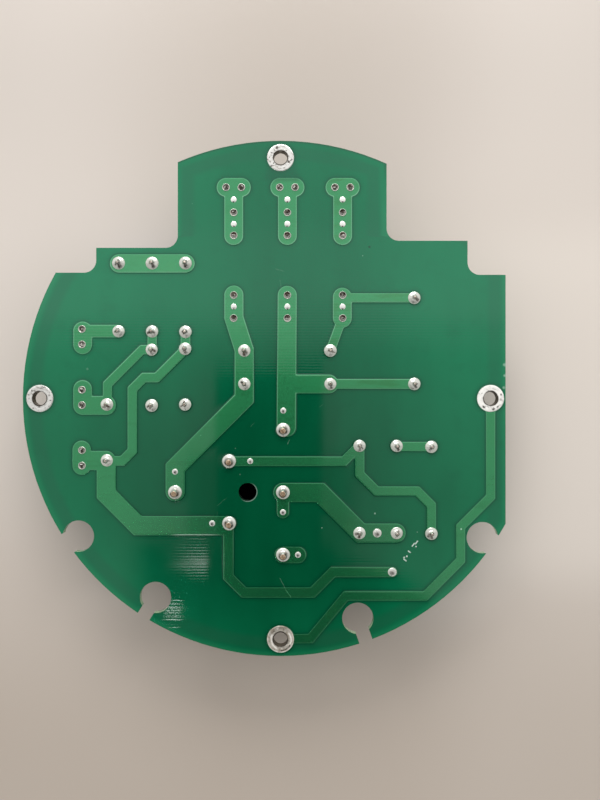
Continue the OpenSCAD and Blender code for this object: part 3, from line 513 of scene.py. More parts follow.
def mat_floor():
    m, t, b = shader("pale_floor")
    co = obj_co(t)
    y = put(t, "ShaderNodeSeparateXYZ", Vector=co).outputs[1]
    n1 = noise(t, co, 5.0, 3.0, 0.5)
    n2 = noise(t, co, 600.0, 2.0, 0.5)
    # painted shade and light: the floor is painted darker to the south and far to the north, with a painted shadow in a
    # patch north of the board, and painted lighter east of the board and in patches by its lower corners and just below
    # it
    pale = mix_col(t, remap(t, n1, 0.3, 0.7), (0.640, 0.580, 0.528), (0.672, 0.617, 0.570))
    low = mix_col(t, remap(t, n1, 0.3, 0.7), (0.490, 0.425, 0.365), (0.515, 0.450, 0.390))
    pale = mix_col(t, remap(t, y, 0.05, 0.13), pale, (0.575, 0.525, 0.483))
    col = mix_col(t, remap(t, y, -0.13, 0.0), low, pale)
    x = put(t, "ShaderNodeSeparateXYZ", Vector=co).outputs[0]
    near = mul(t, remap(t, y, -0.085, -0.045), remap(t, y, 0.080, 0.040))
    col = mix_col(t, mul(t, remap(t, x, 0.035, 0.085), remap(t, near, 0.0, 1.0, 0.16, 0.62)), col, (0.760, 0.700, 0.640))
    col = mix_col(t, remap(t, vec_n(t, "DISTANCE", co, (0.056, -0.060, 0.0)), 0.040, 0.012, 0.0, 0.80), col, (0.800, 0.745, 0.690))
    col = mix_col(t, remap(t, vec_n(t, "DISTANCE", co, (-0.056, -0.060, 0.0)), 0.036, 0.012, 0.0, 0.42), col, (0.780, 0.720, 0.660))
    col = mix_col(t, remap(t, vec_n(t, "DISTANCE", co, (0.004, -0.098, 0.0)), 0.038, 0.008, 0.0, 0.25), col, (0.700, 0.620, 0.545))
    col = mix_col(t, remap(t, vec_n(t, "DISTANCE", co, (0.006, 0.128, 0.0)), 0.100, 0.010, 0.0, 0.80), col, (0.452, 0.400, 0.352))
    t.links.new(col, b.inputs["Base Color"])
    t.links.new(remap(t, n2, 0.3, 0.7, 0.46, 0.56), b.inputs["Roughness"])
    b.inputs["Specular IOR Level"].default_value = 0.3
    return m


MASK = mat_mask()
SOLDER = mat_solder()
RING = mat_tin_ring()
INK = mat_ink()
PAD_TIN = mat_metal("tinned_pad", (0.80, 0.79, 0.76), (0.62, 0.60, 0.57), 0.22, 0.40)
TAB_TIN = mat_metal("tinned_blade", (0.82, 0.80, 0.76), (0.70, 0.67, 0.62), 0.20, 0.34, grain=(1, 1, 0.12), scale=1600.0)
CLIP_TIN = mat_metal("clip_spring", (0.80, 0.77, 0.71), (0.66, 0.62, 0.56), 0.18, 0.34, grain=(1, 0.15, 1), scale=1600.0)
CAP_NICKEL = mat_metal("fuse_nickel", (0.80, 0.78, 0.74), (0.70, 0.67, 0.62), 0.10, 0.22)
CERAMIC = mat_plastic("fuse_ceramic", (0.74, 0.70, 0.62), (0.66, 0.62, 0.55), 0.40, 0.58, 1800.0, 0.00001)
CAP_GREY = mat_plastic("cap_grey", (0.15, 0.16, 0.17), (0.12, 0.125, 0.135), 0.34, 0.50, 1600.0, 0.00002, edge=(0.26, 0.27, 0.28))
CAP_BLUE = mat_plastic("cap_blue", (0.016, 0.065, 0.21), (0.012, 0.05, 0.17), 0.32, 0.46, 1600.0, 0.00002, edge=(0.05, 0.13, 0.32))
BLACK = mat_plastic("black_moulding", (0.0040, 0.0040, 0.0045), (0.0065, 0.0065, 0.0070), 0.38, 0.56, 1500.0, 0.00002, spec=0.35,
                    deep=(-10.75 * MM, -30.5 * MM, 0))
CORE = mat_plastic("core_coating", (0.012, 0.060, 0.058), (0.018, 0.075, 0.070), 0.30, 0.48, 700.0, 0.00006)
COPPER = mat_wire("copper_wire", (0.50, 0.17, 0.055), (0.64, 0.26, 0.09), (0.46, 0.30, 0.18), (0.70, 0.54, 0.38), coat=0.4)
LEAD = mat_wire("tinned_lead", (0.74, 0.72, 0.70), (0.56, 0.53, 0.50), (0.22, 0.17, 0.135), (0.70, 0.62, 0.54))
RES = mat_resistor()


# ---------------------------------------------------------------- mesh helpers
def piece(name, verts_mm, faces, mat, replaces=(), smooth=True, attrs=(), normals=None):
    me = bpy.data.meshes.new(name)
    me.from_pydata([(x * MM, y * MM, z * MM) for x, y, z in verts_mm], [], faces)
    me.update()
    if smooth:
        me.polygons.foreach_set("use_smooth", [True] * len(me.polygons))
    for an, data in attrs:
        a = me.color_attributes.new(an, "FLOAT_COLOR", "POINT")
        a.data.foreach_set("color", np.asarray(data, np.float32).ravel())
    if normals is not None:
        me.normals_split_custom_set_from_vertices([tuple(n) for n in normals])
    me.materials.append(mat)
    o = bpy.data.objects.new(name, me)
    scene.collection.objects.link(o)
    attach(o, "root")
    if replaces:
        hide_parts(*replaces)
    return o


def dress(node, mat, bevel=0.0, segs=2, angle=35.0):
    o = nodes[node]
    o.data.materials.clear()
    o.data.materials.append(mat)
    if bevel:
        b = o.modifiers.new("edge", "BEVEL")
        b.width = bevel * MM
        b.segments = segs
        b.limit_method = "ANGLE"
        b.angle_limit = math.radians(angle)
        b.use_clamp_overlap = True
        b.harden_normals = False
    return o


def merge(parts):
    """Joins (verts, faces, colours) lists into one."""
    V, F, C = [], [], []
    for v, f, c in parts:
        b = len(V)
        V += v
        F += [tuple(i + b for i in q) for q in f]
        C += c
    return V, F, C


def curve(ctrl, per):
    """Smooth line through control points."""
    P = np.array(ctrl, float)
    out = []
    for i in range(len(P) - 1):
        p0, p1, p2, p3 = P[max(i - 1, 0)], P[i], P[i + 1], P[min(i + 2, len(P) - 1)]
        for s in range(per):
            u = s / per
            out.append(0.5 * (2 * p1 + (p2 - p0) * u + (2 * p0 - 5 * p1 + 4 * p2 - p3) * u * u + (3 * p1 - p0 - 3 * p2 + p3) * u ** 3))
    out.append(P[-1])
    return np.array(out)


# ---------------------------------------------------------------- mask relief over the tracks
def kites(tracks):
    """Fills the outer corner of each bend, so that it is a mitre and not an arc."""
    out = []
    for pts, w in tracks:
        for i in range(1, len(pts) - 1):
            a, p, c = (np.array(q, float) for q in pts[i - 1:i + 2])
            d1, d2 = (p - a) / np.linalg.norm(p - a), (c - p) / np.linalg.norm(c - p)
            cr = d1[0] * d2[1] - d1[1] * d2[0]
            dt = float(d1 @ d2)
            if abs(cr) < 0.2 or dt < 0.3:
                continue
            s = -1.0 if cr > 0 else 1.0
            n1, n2 = s * np.array([-d1[1], d1[0]]), s * np.array([-d2[1], d2[0]])
            tip = p + (w / 2) * (n1 + n2) / (1 + dt)
            poly = [p, p + n1 * w / 2, tip, p + n2 * w / 2]
            ar = sum(poly[k][0] * poly[(k + 1) % 4][1] - poly[k][1] * poly[(k + 1) % 4][0] for k in range(4))
            out.append(poly if ar > 0 else poly[::-1])
    return out


def track_sd(P, tracks, corners):
    d = np.full(len(P), 1e9)
    for pts, w in tracks:
        for a, c in zip(pts[:-1], pts[1:]):
            a, c = np.array(a, float), np.array(c, float)
            v = c - a
            tt = np.clip(((P - a) @ v) / (v @ v), 0, 1)
            d = np.minimum(d, np.hypot(*(P - a - tt[:, None] * v).T) - w / 2)
    for poly in corners:
        e = np.full(len(P), -1e9)
        for k in range(4):
            p, q = poly[k], poly[(k + 1) % 4]
            n = np.array([q[1] - p[1], p[0] - q[0]])
            n /= np.linalg.norm(n)
            e = np.maximum(e, (P - p) @ n)
        d = np.minimum(d, e)
    return d


BARE_C = np.array([c for c, r in BARE], float)
BARE_R = np.array([r for c, r in BARE], float)


def bare_sd(P):
    d = np.full(len(P), 1e9)
    for c, r in zip(BARE_C, BARE_R):
        d = np.minimum(d, np.hypot(P[:, 0] - c[0], P[:, 1] - c[1]) - r)
    return d


def contour(F, xs, ys, level):
    """Marching squares: points on grid edges, and the segments that join them."""
    G = F - level
    G[np.abs(G) < 1e-6] = 1e-6
    ids, pts, segs = {}, [], []

    def pt(i, j, k, l):
        key = (i, j, k, l)
        if key not in ids:
            u = G[i, j] / (G[i, j] - G[k, l])
            ids[key] = len(pts)
            pts.append((xs[i] + u * (xs[k] - xs[i]), ys[j] + u * (ys[l] - ys[j])))
        return ids[key]

    S = G > 0
    code = S[:-1, :-1] * 1 + S[1:, :-1] * 2 + S[1:, 1:] * 4 + S[:-1, 1:] * 8
    for i, j in np.argwhere((code > 0) & (code < 15)):
        c = code[i, j]
        e = {"b": (i, j, i + 1, j), "r": (i + 1, j, i + 1, j + 1), "t": (i, j + 1, i + 1, j + 1), "l": (i, j, i, j + 1)}
        pairs = {1: ["lb"], 14: ["lb"], 2: ["br"], 13: ["br"], 3: ["lr"], 12: ["lr"], 4: ["rt"], 11: ["rt"],
                 6: ["bt"], 9: ["bt"], 7: ["lt"], 8: ["lt"], 5: ["lb", "rt"], 10: ["br", "lt"]}[c]
        for p in pairs:
            segs.append((pt(*e[p[0]]), pt(*e[p[1]])))
    return pts, segs


LEVELS = (-0.42, -0.30, -0.20, -0.10, 0.0, 0.10, 0.22, 0.40, 0.70, 1.2, 1.9)
FADE = LEVELS[-1]
# flat of the board: inside the round rim, left of the straight edge, outside the notches
RIMS = [((0.0, 0.0), 83.72), ((-65.9, -44.9), 5.27), ((-40.75, -64.9), 5.27), ((25.2, -71.7), 5.27), ((65.8, -45.4), 5.27)]
EDGE_X = 73.24


def relief(name, tracks, z0, up, replaces):
    """One skin of mask over the copper of a side: raised on the copper, rolled over its edges, and fading into the board."""
    cor = kites(tracks)

    def sd(P):
        return np.minimum(track_sd(P, tracks, cor), bare_sd(P))

    h = 0.5
    xs = np.arange(-84.0, 76.0, h)
    ys = np.arange(-84.0, 84.0, h)
    X, Y = np.meshgrid(xs, ys, indexing="ij")
    P = np.stack([X.ravel(), Y.ravel()], 1)
    D = sd(P).reshape(X.shape)
    pts, edges = [], []
    for lv in LEVELS:
        p, s = contour(D.copy(), xs, ys, lv)
        p = np.array(p)
        # slide each point onto its level
        for _ in range(2):
            d0 = sd(p)
            gx = (sd(p + [1e-3, 0]) - d0) / 1e-3
            gy = (sd(p + [0, 1e-3]) - d0) / 1e-3
            g2 = np.maximum(gx * gx + gy * gy, 0.2)
            step = np.clip((lv - d0) / g2, -0.2, 0.2)
            p = p + np.stack([gx * step, gy * step], 1)
        base = len(pts)
        pts += [tuple(q) for q in p]
        edges += [(a + base, c + base) for a, c in s]
    for c, r in zip(BARE_C, BARE_R):
        n = 48 if r > 3 else (32 if r > 1.3 else 22)
        base = len(pts)
        pts += [(c[0] + (r - 0.08) * math.cos(2 * math.pi * k / n), c[1] + (r - 0.08) * math.sin(2 * math.pi * k / n)) for k in range(n)]
        edges += [(base + k, base + (k + 1) % n) for k in range(n)]
    for c, r in RIMS:
        n = int(40 + 5 * r)
        base = len(pts)
        pts += [(c[0] + r * math.cos(2 * math.pi * k / n), c[1] + r * math.sin(2 * math.pi * k / n)) for k in range(n)]
        edges += [(base + k, base + (k + 1) % n) for k in range(n)]
    base = len(pts)
    pts += [(EDGE_X, -11.0), (EDGE_X, 11.0)]
    edges.append((base, base + 1))
    out = delaunay_2d_cdt([Vector(p) for p in pts], edges, [], 0, 1e-5)
    V = np.array([tuple(v) for v in out[0]])
    T = np.array([f for f in out[2] if len(f) == 3])
    C = V[T].mean(1)
    area2 = np.abs(np.cross(V[T[:, 1]] - V[T[:, 0]], V[T[:, 2]] - V[T[:, 0]]))
    keep = (sd(C) < FADE - 0.002) & (bare_sd(C) > -0.085) & (area2 > 1e-7)
    # stay on the laminate, clear of its rim
    keep &= (np.hypot(C[:, 0], C[:, 1]) < RIMS[0][1]) & (C[:, 0] < EDGE_X)
    for c, r in RIMS[1:]:
        keep &= np.hypot(C[:, 0] - c[0], C[:, 1] - c[1]) > r
    T = T[keep]
    used = np.unique(T)
    back = -np.ones(len(V), int)
    back[used] = np.arange(len(used))
    V, T = V[used], back[T]
    d = sd(V)
    gx = (sd(V + [2e-3, 0]) - sd(V - [2e-3, 0])) / 4e-3
    gy = (sd(V + [0, 2e-3]) - sd(V - [0, 2e-3])) / 4e-3
    dt = track_sd(V, tracks, cor)

    def height(q):
        u = np.clip((q + 0.34) / 0.64, 0, 1)
        v = np.clip(q / FADE, 0, 1)
        return 0.050 * (1 - u * u * (3 - 2 * u)) + 0.010 * (1 - v) ** 2 + 0.004

    z = height(d)
    dz = (height(d + 1e-3) - height(d - 1e-3)) / 2e-3
    N = np.stack([-dz * gx, -dz * gy, np.ones(len(V))], 1)
    N /= np.linalg.norm(N, axis=1)[:, None]
    cu = np.clip((0.04 - dt) / 0.14, 0, 1)
    # painted highlight: a pale line just inside each copper edge, weaker on north-facing edges in the upper board;
    # painted shade: a dark band outside the copper and round the pads
    rim = np.exp(-((dt + 0.15) / 0.10) ** 2) * (0.85 - 0.45 * gy * np.clip((V[:, 1] - 20) / 20, 0, 1))
    q = np.maximum(d, 0)
    halo = (0.60 * np.exp(-((q - 0.20) / 0.20) ** 2) + 0.46 * np.exp(-(q / 1.05) ** 2)) * (d > 0.015) * np.clip((FADE - 0.02 - d) / 0.7, 0, 1)
    col = np.stack([cu, rim, np.clip(halo, 0, 1), np.ones(len(V))], 1)
    ar = np.cross(V[T[:, 1]] - V[T[:, 0]], V[T[:, 2]] - V[T[:, 0]])
    T[ar < 0] = T[ar < 0][:, ::-1]
    if up < 0:
        T = T[:, ::-1]
        N[:, 2] *= -1
    verts = np.stack([V[:, 0], V[:, 1], z0 + up * z], 1)
    return piece(name, verts.tolist(), T.tolist(), MASK, replaces, attrs=[("mask", col)], normals=N)


relief("track_mask_solder_side", SOLDER_SIDE, 0.0, 1, ("solder_side_tracks",))
relief("track_mask_component_side", COMPONENT_SIDE, -BOARD_T, -1, ("component_side_tracks",))


# ---------------------------------------------------------------- soldered joints
def fade(v, a, b):
    u = min(1.0, max(0.0, (v - a) / (b - a)))
    return u * u * (3 - 2 * u)


def joint(cx, cy, ctrl, n, seed, wob, lean=(0.0, 0.0), stain=None, streaks=0, per=3, clean=0.0, painted_side_shade=0.0, painted_south_shade=0.0, pit=0.0, feather=1.0, painted_north_highlight=0.0):
    """A turned blob: ctrl is (radius, height) from the rim in; each one has its own swells.
    stain(radius) is how dark the solder is there: flux and oxide by the lead, and painted shade in the hollow round it;
    streaks are dark runs from the middle outwards, most of them to the south."""
    r = np.random.RandomState(seed)
    ph = r.uniform(0, 2 * math.pi, 8)
    am = r.uniform(0.35, 1.0, 8)
    prof = curve(ctrl, per)
    R, r_in = prof[0][0], prof[-1][0]
    a = 2 * math.pi * np.arange(n) / n
    sw1 = am[0] * np.sin(a + ph[0]) + 0.8 * am[1] * np.sin(2 * a + ph[1]) + 0.5 * am[2] * np.sin(3 * a + ph[2])
    sw2 = am[3] * np.sin(2 * a + ph[3]) + 0.8 * am[4] * np.sin(3 * a + ph[4]) + 0.6 * am[5] * np.sin(6 * a + ph[5])
    runs = [(r.uniform(math.radians(185), math.radians(355)) if r.rand() < 0.75 else r.uniform(0, 2 * math.pi),
             r.uniform(0.20, 0.44), r.uniform(0.52, 0.96), r.uniform(0.66, 0.95), r.uniform(-0.5, 0.5)) for _ in range(streaks)]
    verts, col, faces = [], [], []
    for rad, z in prof:
        u = min(1.0, max(0.0, (R - rad) / max(R - r_in, 1e-6)))
        bell = math.sin(math.pi * min(1.0, u * 1.08)) if u * 1.08 < 1 else 0.0
        rr = rad * (1 + 0.012 * sw1 * (1 - u)) + 0.6 * wob * sw2 * bell
        zz = z + (wob * (sw1 * (1 - u) + sw2 * u) * bell if z > 0.02 else 0.0 * sw1)
        wu = u * u
        s0 = 0.0 if stain is None else stain(rad)
        ss = s0 * (1 + 0.35 * sw2)
        # painted shade: one side of the joint is painted darker, the north for positive values, the south for negative
        if painted_side_shade:
            ss = ss * (0.62 + painted_side_shade * np.sin(a + 0.5 * (am[6] - 0.7))) + 0.30 * painted_side_shade * np.clip(np.sin(a), 0, 1) * fade(rad, 1.25, 1.1)
        # painted shade: a dark mark on the south side of the dome
        if painted_south_shade:
            ss = ss + painted_south_shade * fade(rad / R, 0.45, 0.75) * np.clip(1.5 - np.abs(a - 1.5 * math.pi - 0.3 * am[6] + 0.3 * am[7]) / 0.30, 0, 1)
        if pit:
            px, py = rad / R * np.cos(a) - 0.25 * (am[5] - 0.7), rad / R * np.sin(a) + 0.18
            ss = ss + pit * np.clip(1.5 - np.hypot(px, py) / 0.34, 0, 1)
        ss = np.clip(ss, 0, 1)
        for ang, half, reach, wt, bend in runs:
            da = np.abs((a - ang - bend * (1 - rad / R) + math.pi) % (2 * math.pi) - math.pi)
            edge = np.clip(1.5 - da / (half * min(1.7, 1.05 / rad)), 0, 1) * min(1.0, max(0.0, (reach * R - rad) / 0.45))
            edge = edge * edge * (3 - 2 * edge)
            ss = np.maximum(ss, wt * edge)
            zz = zz - 0.05 * edge * (z > 0.1)
        for k in range(n):
            verts.append((cx + rr[k] * math.cos(a[k]) + lean[0] * wu, cy + rr[k] * math.sin(a[k]) + lean[1] * wu, float(zz[k])))
            # painted highlight on the north side, carried in the clean channel
            lit = painted_north_highlight * min(1.0, max(0.0, 0.25 + 0.9 * math.sin(a[k] + 0.6 * (am[7] - 0.7)))) * (1 - float(ss[k]))
            col.append((float(ss[k]), min(1.0, clean + lit), feather * fade(rad / R, 0.72, 0.99), 1))
    m = len(prof)
    for i in range(m - 1):
        for k in range(n):
            p, q = i * n + k, i * n + (k + 1) % n
            faces.append((p, q, q + n, p + n))
    verts.append((cx + lean[0], cy + lean[1], float(prof[-1][1])))
    col.append(col[-1])
    faces += [((m - 1) * n + k, (m - 1) * n + (k + 1) % n, len(verts) - 1) for k in range(n)]
    return verts, faces, col


def blobs(name, places, make, replaces, n=36, seed=1, wob=0.05, lean=0.08, stain=None, streaks=(0, 0), painted_side_shade=0.0, feather=1.0, painted_north_highlight=0.0, drop=0.0):
    parts = []
    for k, (x, y) in enumerate(places):
        r = np.random.RandomState(seed * 1000 + k)
        parts.append(joint(x, y, make(r, y), n, seed * 1000 + k, wob, r.uniform(-lean, lean, 2) - (0.0, drop), stain, r.randint(streaks[0], streaks[1] + 1), painted_side_shade=painted_side_shade * r.uniform(0.7, 1.2), feather=feather, painted_north_highlight=painted_north_highlight))
    v, f, c = merge(parts)
    return piece(name, v, f, SOLDER, replaces, attrs=[("stain", c)])


def lead_blob(r, y):
    k, h = r.uniform(0.86, 1.12), r.uniform(-0.12, 0.12)
    e = 1.02 if y > 40 else r.uniform(0.945, 0.985)
    return [(q * e if q > 1 else q, z) for q, z in
            ((2.10, -0.03), (2.10, 0.07), (2.03, 0.20), (1.86, 0.33 * k), (1.55, 0.47 * k), (1.20, 0.63 * k), (0.90, 0.84 * k),
             (0.68, 1.10 * k), (0.53, 1.34 * k + h), (0.42, 1.52 + h))]


def wire_blob(r, y):
    k = r.uniform(0.92, 1.06)
    return [(2.30, -0.03), (2.30, 0.08), (2.24, 0.24), (2.08, 0.40 * k), (1.84, 0.53 * k), (1.56, 0.66 * k), (1.30, 0.86 * k), (1.10, 1.14 * k), (0.98, 1.44 * k), (0.91, 1.66 * k)]


def leg_blob(r, y):
    k = r.uniform(0.85, 1.12)
    return [(1.25, -0.03), (1.25, 0.08), (1.235, 0.18), (1.19, 0.26), (1.10, 0.30 * k), (1.00, 0.27 * k), (0.90, 0.20 * k), (0.80, 0.13 * k),
            (0.70, 0.09), (0.58, 0.08), (0.40, 0.10), (0.20, 0.12), (0.06, 0.12)]


blobs("capacitor_joints", CAP_PADS, lead_blob, ("capacitor_solder_joints",), n=72, seed=3, wob=0.05, stain=lambda q: 0.10 * fade(q, 1.9, 1.0) + 0.46 * fade(q, 0.94, 0.56), streaks=(2, 5), painted_north_highlight=0.22)
blobs("resistor_joints", RES_PADS, lead_blob, ("resistor_solder_joints",), n=72, seed=4, wob=0.05, stain=lambda q: 0.06 * fade(q, 1.9, 1.0) + 0.40 * fade(q, 0.94, 0.56), streaks=(2, 4), painted_north_highlight=0.25)
blobs("choke_joints", CHOKE_PADS, wire_blob, ("choke_solder_joints",), n=44, seed=5, wob=0.03, lean=0.03, stain=lambda q: 0.42 * fade(q, 2.05, 2.25) + 0.16 * fade(q, 2.2, 1.7) + 1.25 * fade(q, 1.80, 1.20), painted_side_shade=-0.24, painted_north_highlight=0.60, drop=0.24)
blobs("input_tab_joints", IN_LEGS, leg_blob, ("tab_solder_joints",), n=36, seed=6, wob=0.016, lean=0.03, stain=lambda q: 0.62 * fade(q, 1.12, 0.90), painted_side_shade=0.60, feather=0.2)
blobs("output_tab_joints", OUT_LEGS, leg_blob, (), n=36, seed=9, wob=0.02, lean=0.04, stain=lambda q: 0.50 * fade(q, 1.10, 0.86), painted_side_shade=0.50, feather=0.2)
blobs("clip_joints", CLIP_LEGS, leg_blob, ("fuse_clip_solder_joints",), n=36, seed=7, wob=0.016, lean=0.03, stain=lambda q: 0.10 + 0.92 * fade(q, 1.14, 0.88), painted_side_shade=0.58, feather=0.3)


def via_blob(R, h):
    return [(R, -0.03), (R, 0.05), (R * 0.955, 0.05 + h * 0.30), (R * 0.84, 0.05 + h * 0.55), (R * 0.62, 0.05 + h * 0.80), (R * 0.34, 0.05 + h * 0.95), (R * 0.08, 0.05 + h)]


def flip(vf):
    v, f, c = vf
    return [(x, y, -BOARD_T - 0.5 * z) for x, y, z in v], [q[::-1] for q in f], c


_via = [joint(x, y, via_blob(0.97, 0.20), 36, 8000 + k, 0.012, clean=1.0 if y > 20 else 0.62, painted_south_shade=0.9 if y > 20 else 0.15, pit=0.0 if y > 20 else 0.98) for k, (x, y) in enumerate(SMALL_VIAS)]
_via += [joint(x, y, via_blob(1.45, 0.40), 34, 8100 + k, 0.03, clean=0.1, pit=0.70, painted_north_highlight=0.3) for k, (x, y) in enumerate(BIG_VIAS)]
_v, _f, _c = merge(_via + [flip(q) for q in _via])
piece("via_domes", _v, _f, SOLDER, ("filled_vias",), attrs=[("stain", _c)])


# ---------------------------------------------------------------- tinned rings of the mounting holes
NICKS = {
    "top": ((4.05, 106, 0.30, 0.16, 0.75), (3.55, 107, 0.34, 0.16, 0.85), (3.05, 109, 0.34, 0.20, 0.80), (3.26, 98, 0.20, 0.16, 0.6), (3.04, 131, 0.16, 0.20, 0.8),
            (3.6, 179, 0.18, 0.20, 0.9), (3.5, 201, 0.16, 0.18, 0.7), (3.5, -31, 0.18, 0.22, 0.8), (3.55, -88, 0.16, 0.34, 0.6), (3.45, -66, 0.16, 0.26, 0.65)),
    "right": ((3.60, -129, 0.27, 0.46, 1.2), (3.60, -75, 0.26, 0.44, 1.2), (3.57, -50, 0.22, 0.36, 1.1), (3.60, 20, 0.22, 0.28, 1.0), (3.3, 150, 0.14, 0.18, 0.5)),
    "left": ((3.45, 181, 0.16, 0.24, 0.8), (3.3, 139, 0.14, 0.40, 0.6), (3.6, -60, 0.14, 0.30, 0.5)),
    "bottom": ((3.62, -86, 0.24, 0.30, 1.0), (3.58, -36, 0.22, 0.30, 1.0), (3.3, 128, 0.2, 0.3, 0.5)),
}


def tinned_ring(cx, cy, seed):
    marks = NICKS["top" if cy > 50 else "bottom" if cy < -50 else "right" if cx > 50 else "left"]
    bottom_darkening = 0.35 if cy < -50 else 0.0
    r = np.random.RandomState(seed)
    ph, am = r.uniform(0, 2 * math.pi, 8), r.uniform(0.3, 1.0, 8)
    top = curve([(2.20, -1.0), (2.20, -0.10), (2.24, 0.03), (2.36, 0.10), (2.62, 0.135), (2.95, 0.128), (3.1, 0.120), (3.25, 0.132), (3.6, 0.145),
                 (4.0, 0.135), (4.24, 0.095), (4.37, 0.040), (4.40, -0.02)], 3)
    low = curve([(4.40, -BOARD_T + 0.02), (4.37, -BOARD_T - 0.040), (4.2, -BOARD_T - 0.10), (3.9, -BOARD_T - 0.135), (3.2, -BOARD_T - 0.14),
                 (2.6, -BOARD_T - 0.13), (2.3, -BOARD_T - 0.09), (2.20, -BOARD_T + 0.1), (2.20, -1.0)], 3)
    prof = [tuple(p) for p in low[:-1]] + [tuple(p) for p in top] + [(2.7, -0.02), (2.7, -BOARD_T + 0.02)]
    n = 112
    verts, faces, dark = [], [], []
    for rad, z in prof:
        flat = max(0.0, 1 - abs(rad - 3.5) / 0.95)
        up = 1 if z > -1 else -1
        for k in range(n):
            a = 2 * math.pi * k / n
            sw = am[0] * math.sin(2 * a + ph[0]) + am[1] * math.sin(3 * a + ph[1]) + 0.7 * am[2] * math.sin(5 * a + ph[2] + rad) + 0.5 * am[3] * math.sin(9 * a + ph[3] + 2 * rad)
            zz = z + up * 0.011 * sw * flat
            rr = rad * (1 + 0.002 * (am[4] * math.sin(2 * a + ph[4]) + am[5] * math.sin(4 * a + ph[5])) * (rad > 4.2))
            verts.append((cx + rr * math.cos(a), cy + rr * math.sin(a), zz))
            # wear near the hole and the outer edge, and the nicks; on the bottom ring painted reflection is added below
            wear_and_painted_light = fade(rad, 2.80, 2.42) * (0.66 + 0.25 * math.sin(a + ph[6]) + 0.25 * math.sin(3 * a + ph[7]))
            wear_and_painted_light += 0.35 * fade(rad, 4.05, 4.35) * max(0.0, math.sin(2 * a + ph[5]))
            wear_and_painted_light += 0.62 * fade(rad, 2.60, 2.32)
            # the bottom ring is darker, most towards the hole
            wear_and_painted_light += bottom_darkening * (0.12 + 0.5 * fade(rad, 3.4, 2.6)) * (0.8 + 0.4 * math.sin(2 * a + ph[3]))
            nick = 0.0
            if z > -0.5:
                for r0, d0, dr, dt, wt in marks:
                    side = (math.degrees(a) - d0 + 180) % 360 - 180
                    nick += wt * math.exp(-((rad - r0) / dr) ** 2 - (math.radians(side) * rad / dt) ** 2)
            wear_and_painted_light += 1.3 * nick
            # painted highlight: the right ring is painted bright except at its nicks
            shine = max(0.0, 1.0 - 1.6 * nick) if cx > 50 else 0.0
            # painted reflection on the bottom ring: a thin dark arc on the south-east, a greyer north part, and bright
            # arcs of painted highlight on the east, west-south-west and south rim
            if cy < -50:
                d = math.degrees(a) if a < math.pi else math.degrees(a) - 360
                painted_dark_arc = fade(d, -92, -84) * fade(d, -28, -36)
                wear_and_painted_light += painted_dark_arc * (0.55 + 0.45 * abs(math.cos(math.radians(3.4 * (d + 60))))) * math.exp(-((rad - 3.66) / 0.20) ** 2)
                wear_and_painted_light += 0.26 * fade(d, 28, 60) * fade(d, 172, 130) * fade(rad, 2.8, 3.5)
                shine = fade(d, -34, -22) * fade(d, 52, 30) * math.exp(-((rad - 3.42 + 0.004 * d) / 0.30) ** 2)
                e = d % 360
                shine += fade(e, 140, 160) * fade(e, 262, 240) * math.exp(-((rad - 2.98 - 0.004 * max(0.0, e - 200)) / 0.32) ** 2)
                shine += 0.7 * fade(rad, 3.9, 4.2) * fade(e, 200, 230) * fade(e, 350, 330)
            dark.append((min(1.0, max(0.0, wear_and_painted_light)), 1.0 if cy < -50 else 0.0, min(1.0, shine), 1))
    m = len(prof)
    for i in range(m):
        j = (i + 1) % m
        for k in range(n):
            q = (k + 1) % n
            faces.append((i * n + k, j * n + k, j * n + q, i * n + q))
    return verts, faces, dark


_v, _f, _c = merge([tinned_ring(x, y, 60 + k) for k, (x, y) in enumerate(MOUNTS)])
piece("tinned_rings", _v, _f, RING, ("mounting_hole_rings",), attrs=[("stain", _c)])


# ---------------------------------------------------------------- wires
def sweep(path, r, k, tinned=None, cuts=(True, True), slant=0.0, seed=0):
    """A round wire along a path. tinned(z) marks tinned lengths; a cut end is a slightly domed, slanted face."""
    rs = np.random.RandomState(seed)
    path = np.asarray(path, float)
    T = np.gradient(path, axis=0)
    T /= np.linalg.norm(T, axis=1)[:, None]
    side = np.array([1.0, 0.0, 0.0]) if abs(T[0][0]) < 0.8 else np.array([0.0, 1.0, 0.0])
    verts, tin = [], []
    m = len(path)
    tilt = rs.uniform(0, 2 * math.pi, 2)
    for i in range(m):
        side = side - T[i] * (side @ T[i])
        side /= np.linalg.norm(side)
        up = np.cross(T[i], side)
        bare = 1.0 if tinned is None else tinned(path[i])
        for q in range(k):
            a = 2 * math.pi * q / k
            p = path[i] + r * (math.cos(a) * side + math.sin(a) * up)
            if i in (0, m - 1) and cuts[0 if i == 0 else 1]:
                p = p - T[i] * (-1 if i == 0 else 1) * slant * r * (1 + math.cos(a + tilt[0 if i == 0 else 1]))
            verts.append(tuple(p))
            tin.append((bare, 0, 0, 1))
    faces = [(i * k + q, i * k + (q + 1) % k, (i + 1) * k + (q + 1) % k, (i + 1) * k + q) for i in range(m - 1) for q in range(k)]
    for i, s in ((0, -1), (m - 1, 1)):
        ring = [i * k + q for q in range(k)]
        c = np.mean([verts[q] for q in ring], 0)
        cut = cuts[0 if s < 0 else 1]
        prev = ring
        for rad, lift in ((0.86, 0.05 * r), (0.45, 0.08 * r)):
            base = len(verts)
            for q in ring:
                v = np.array(verts[q])
                verts.append(tuple(c + (v - c) * rad + T[i] * s * lift))
                tin.append((0 if cut else 1, 1 if cut else 0, 0, 1))
            cur = [base + q for q in range(k)]
            for q in range(k):
                f = (prev[q], prev[(q + 1) % k], cur[(q + 1) % k], cur[q])
                faces.append(f if s > 0 else f[::-1])
            prev = cur
        faces.append(tuple(prev) if s > 0 else tuple(prev[::-1]))
    return verts, faces, tin


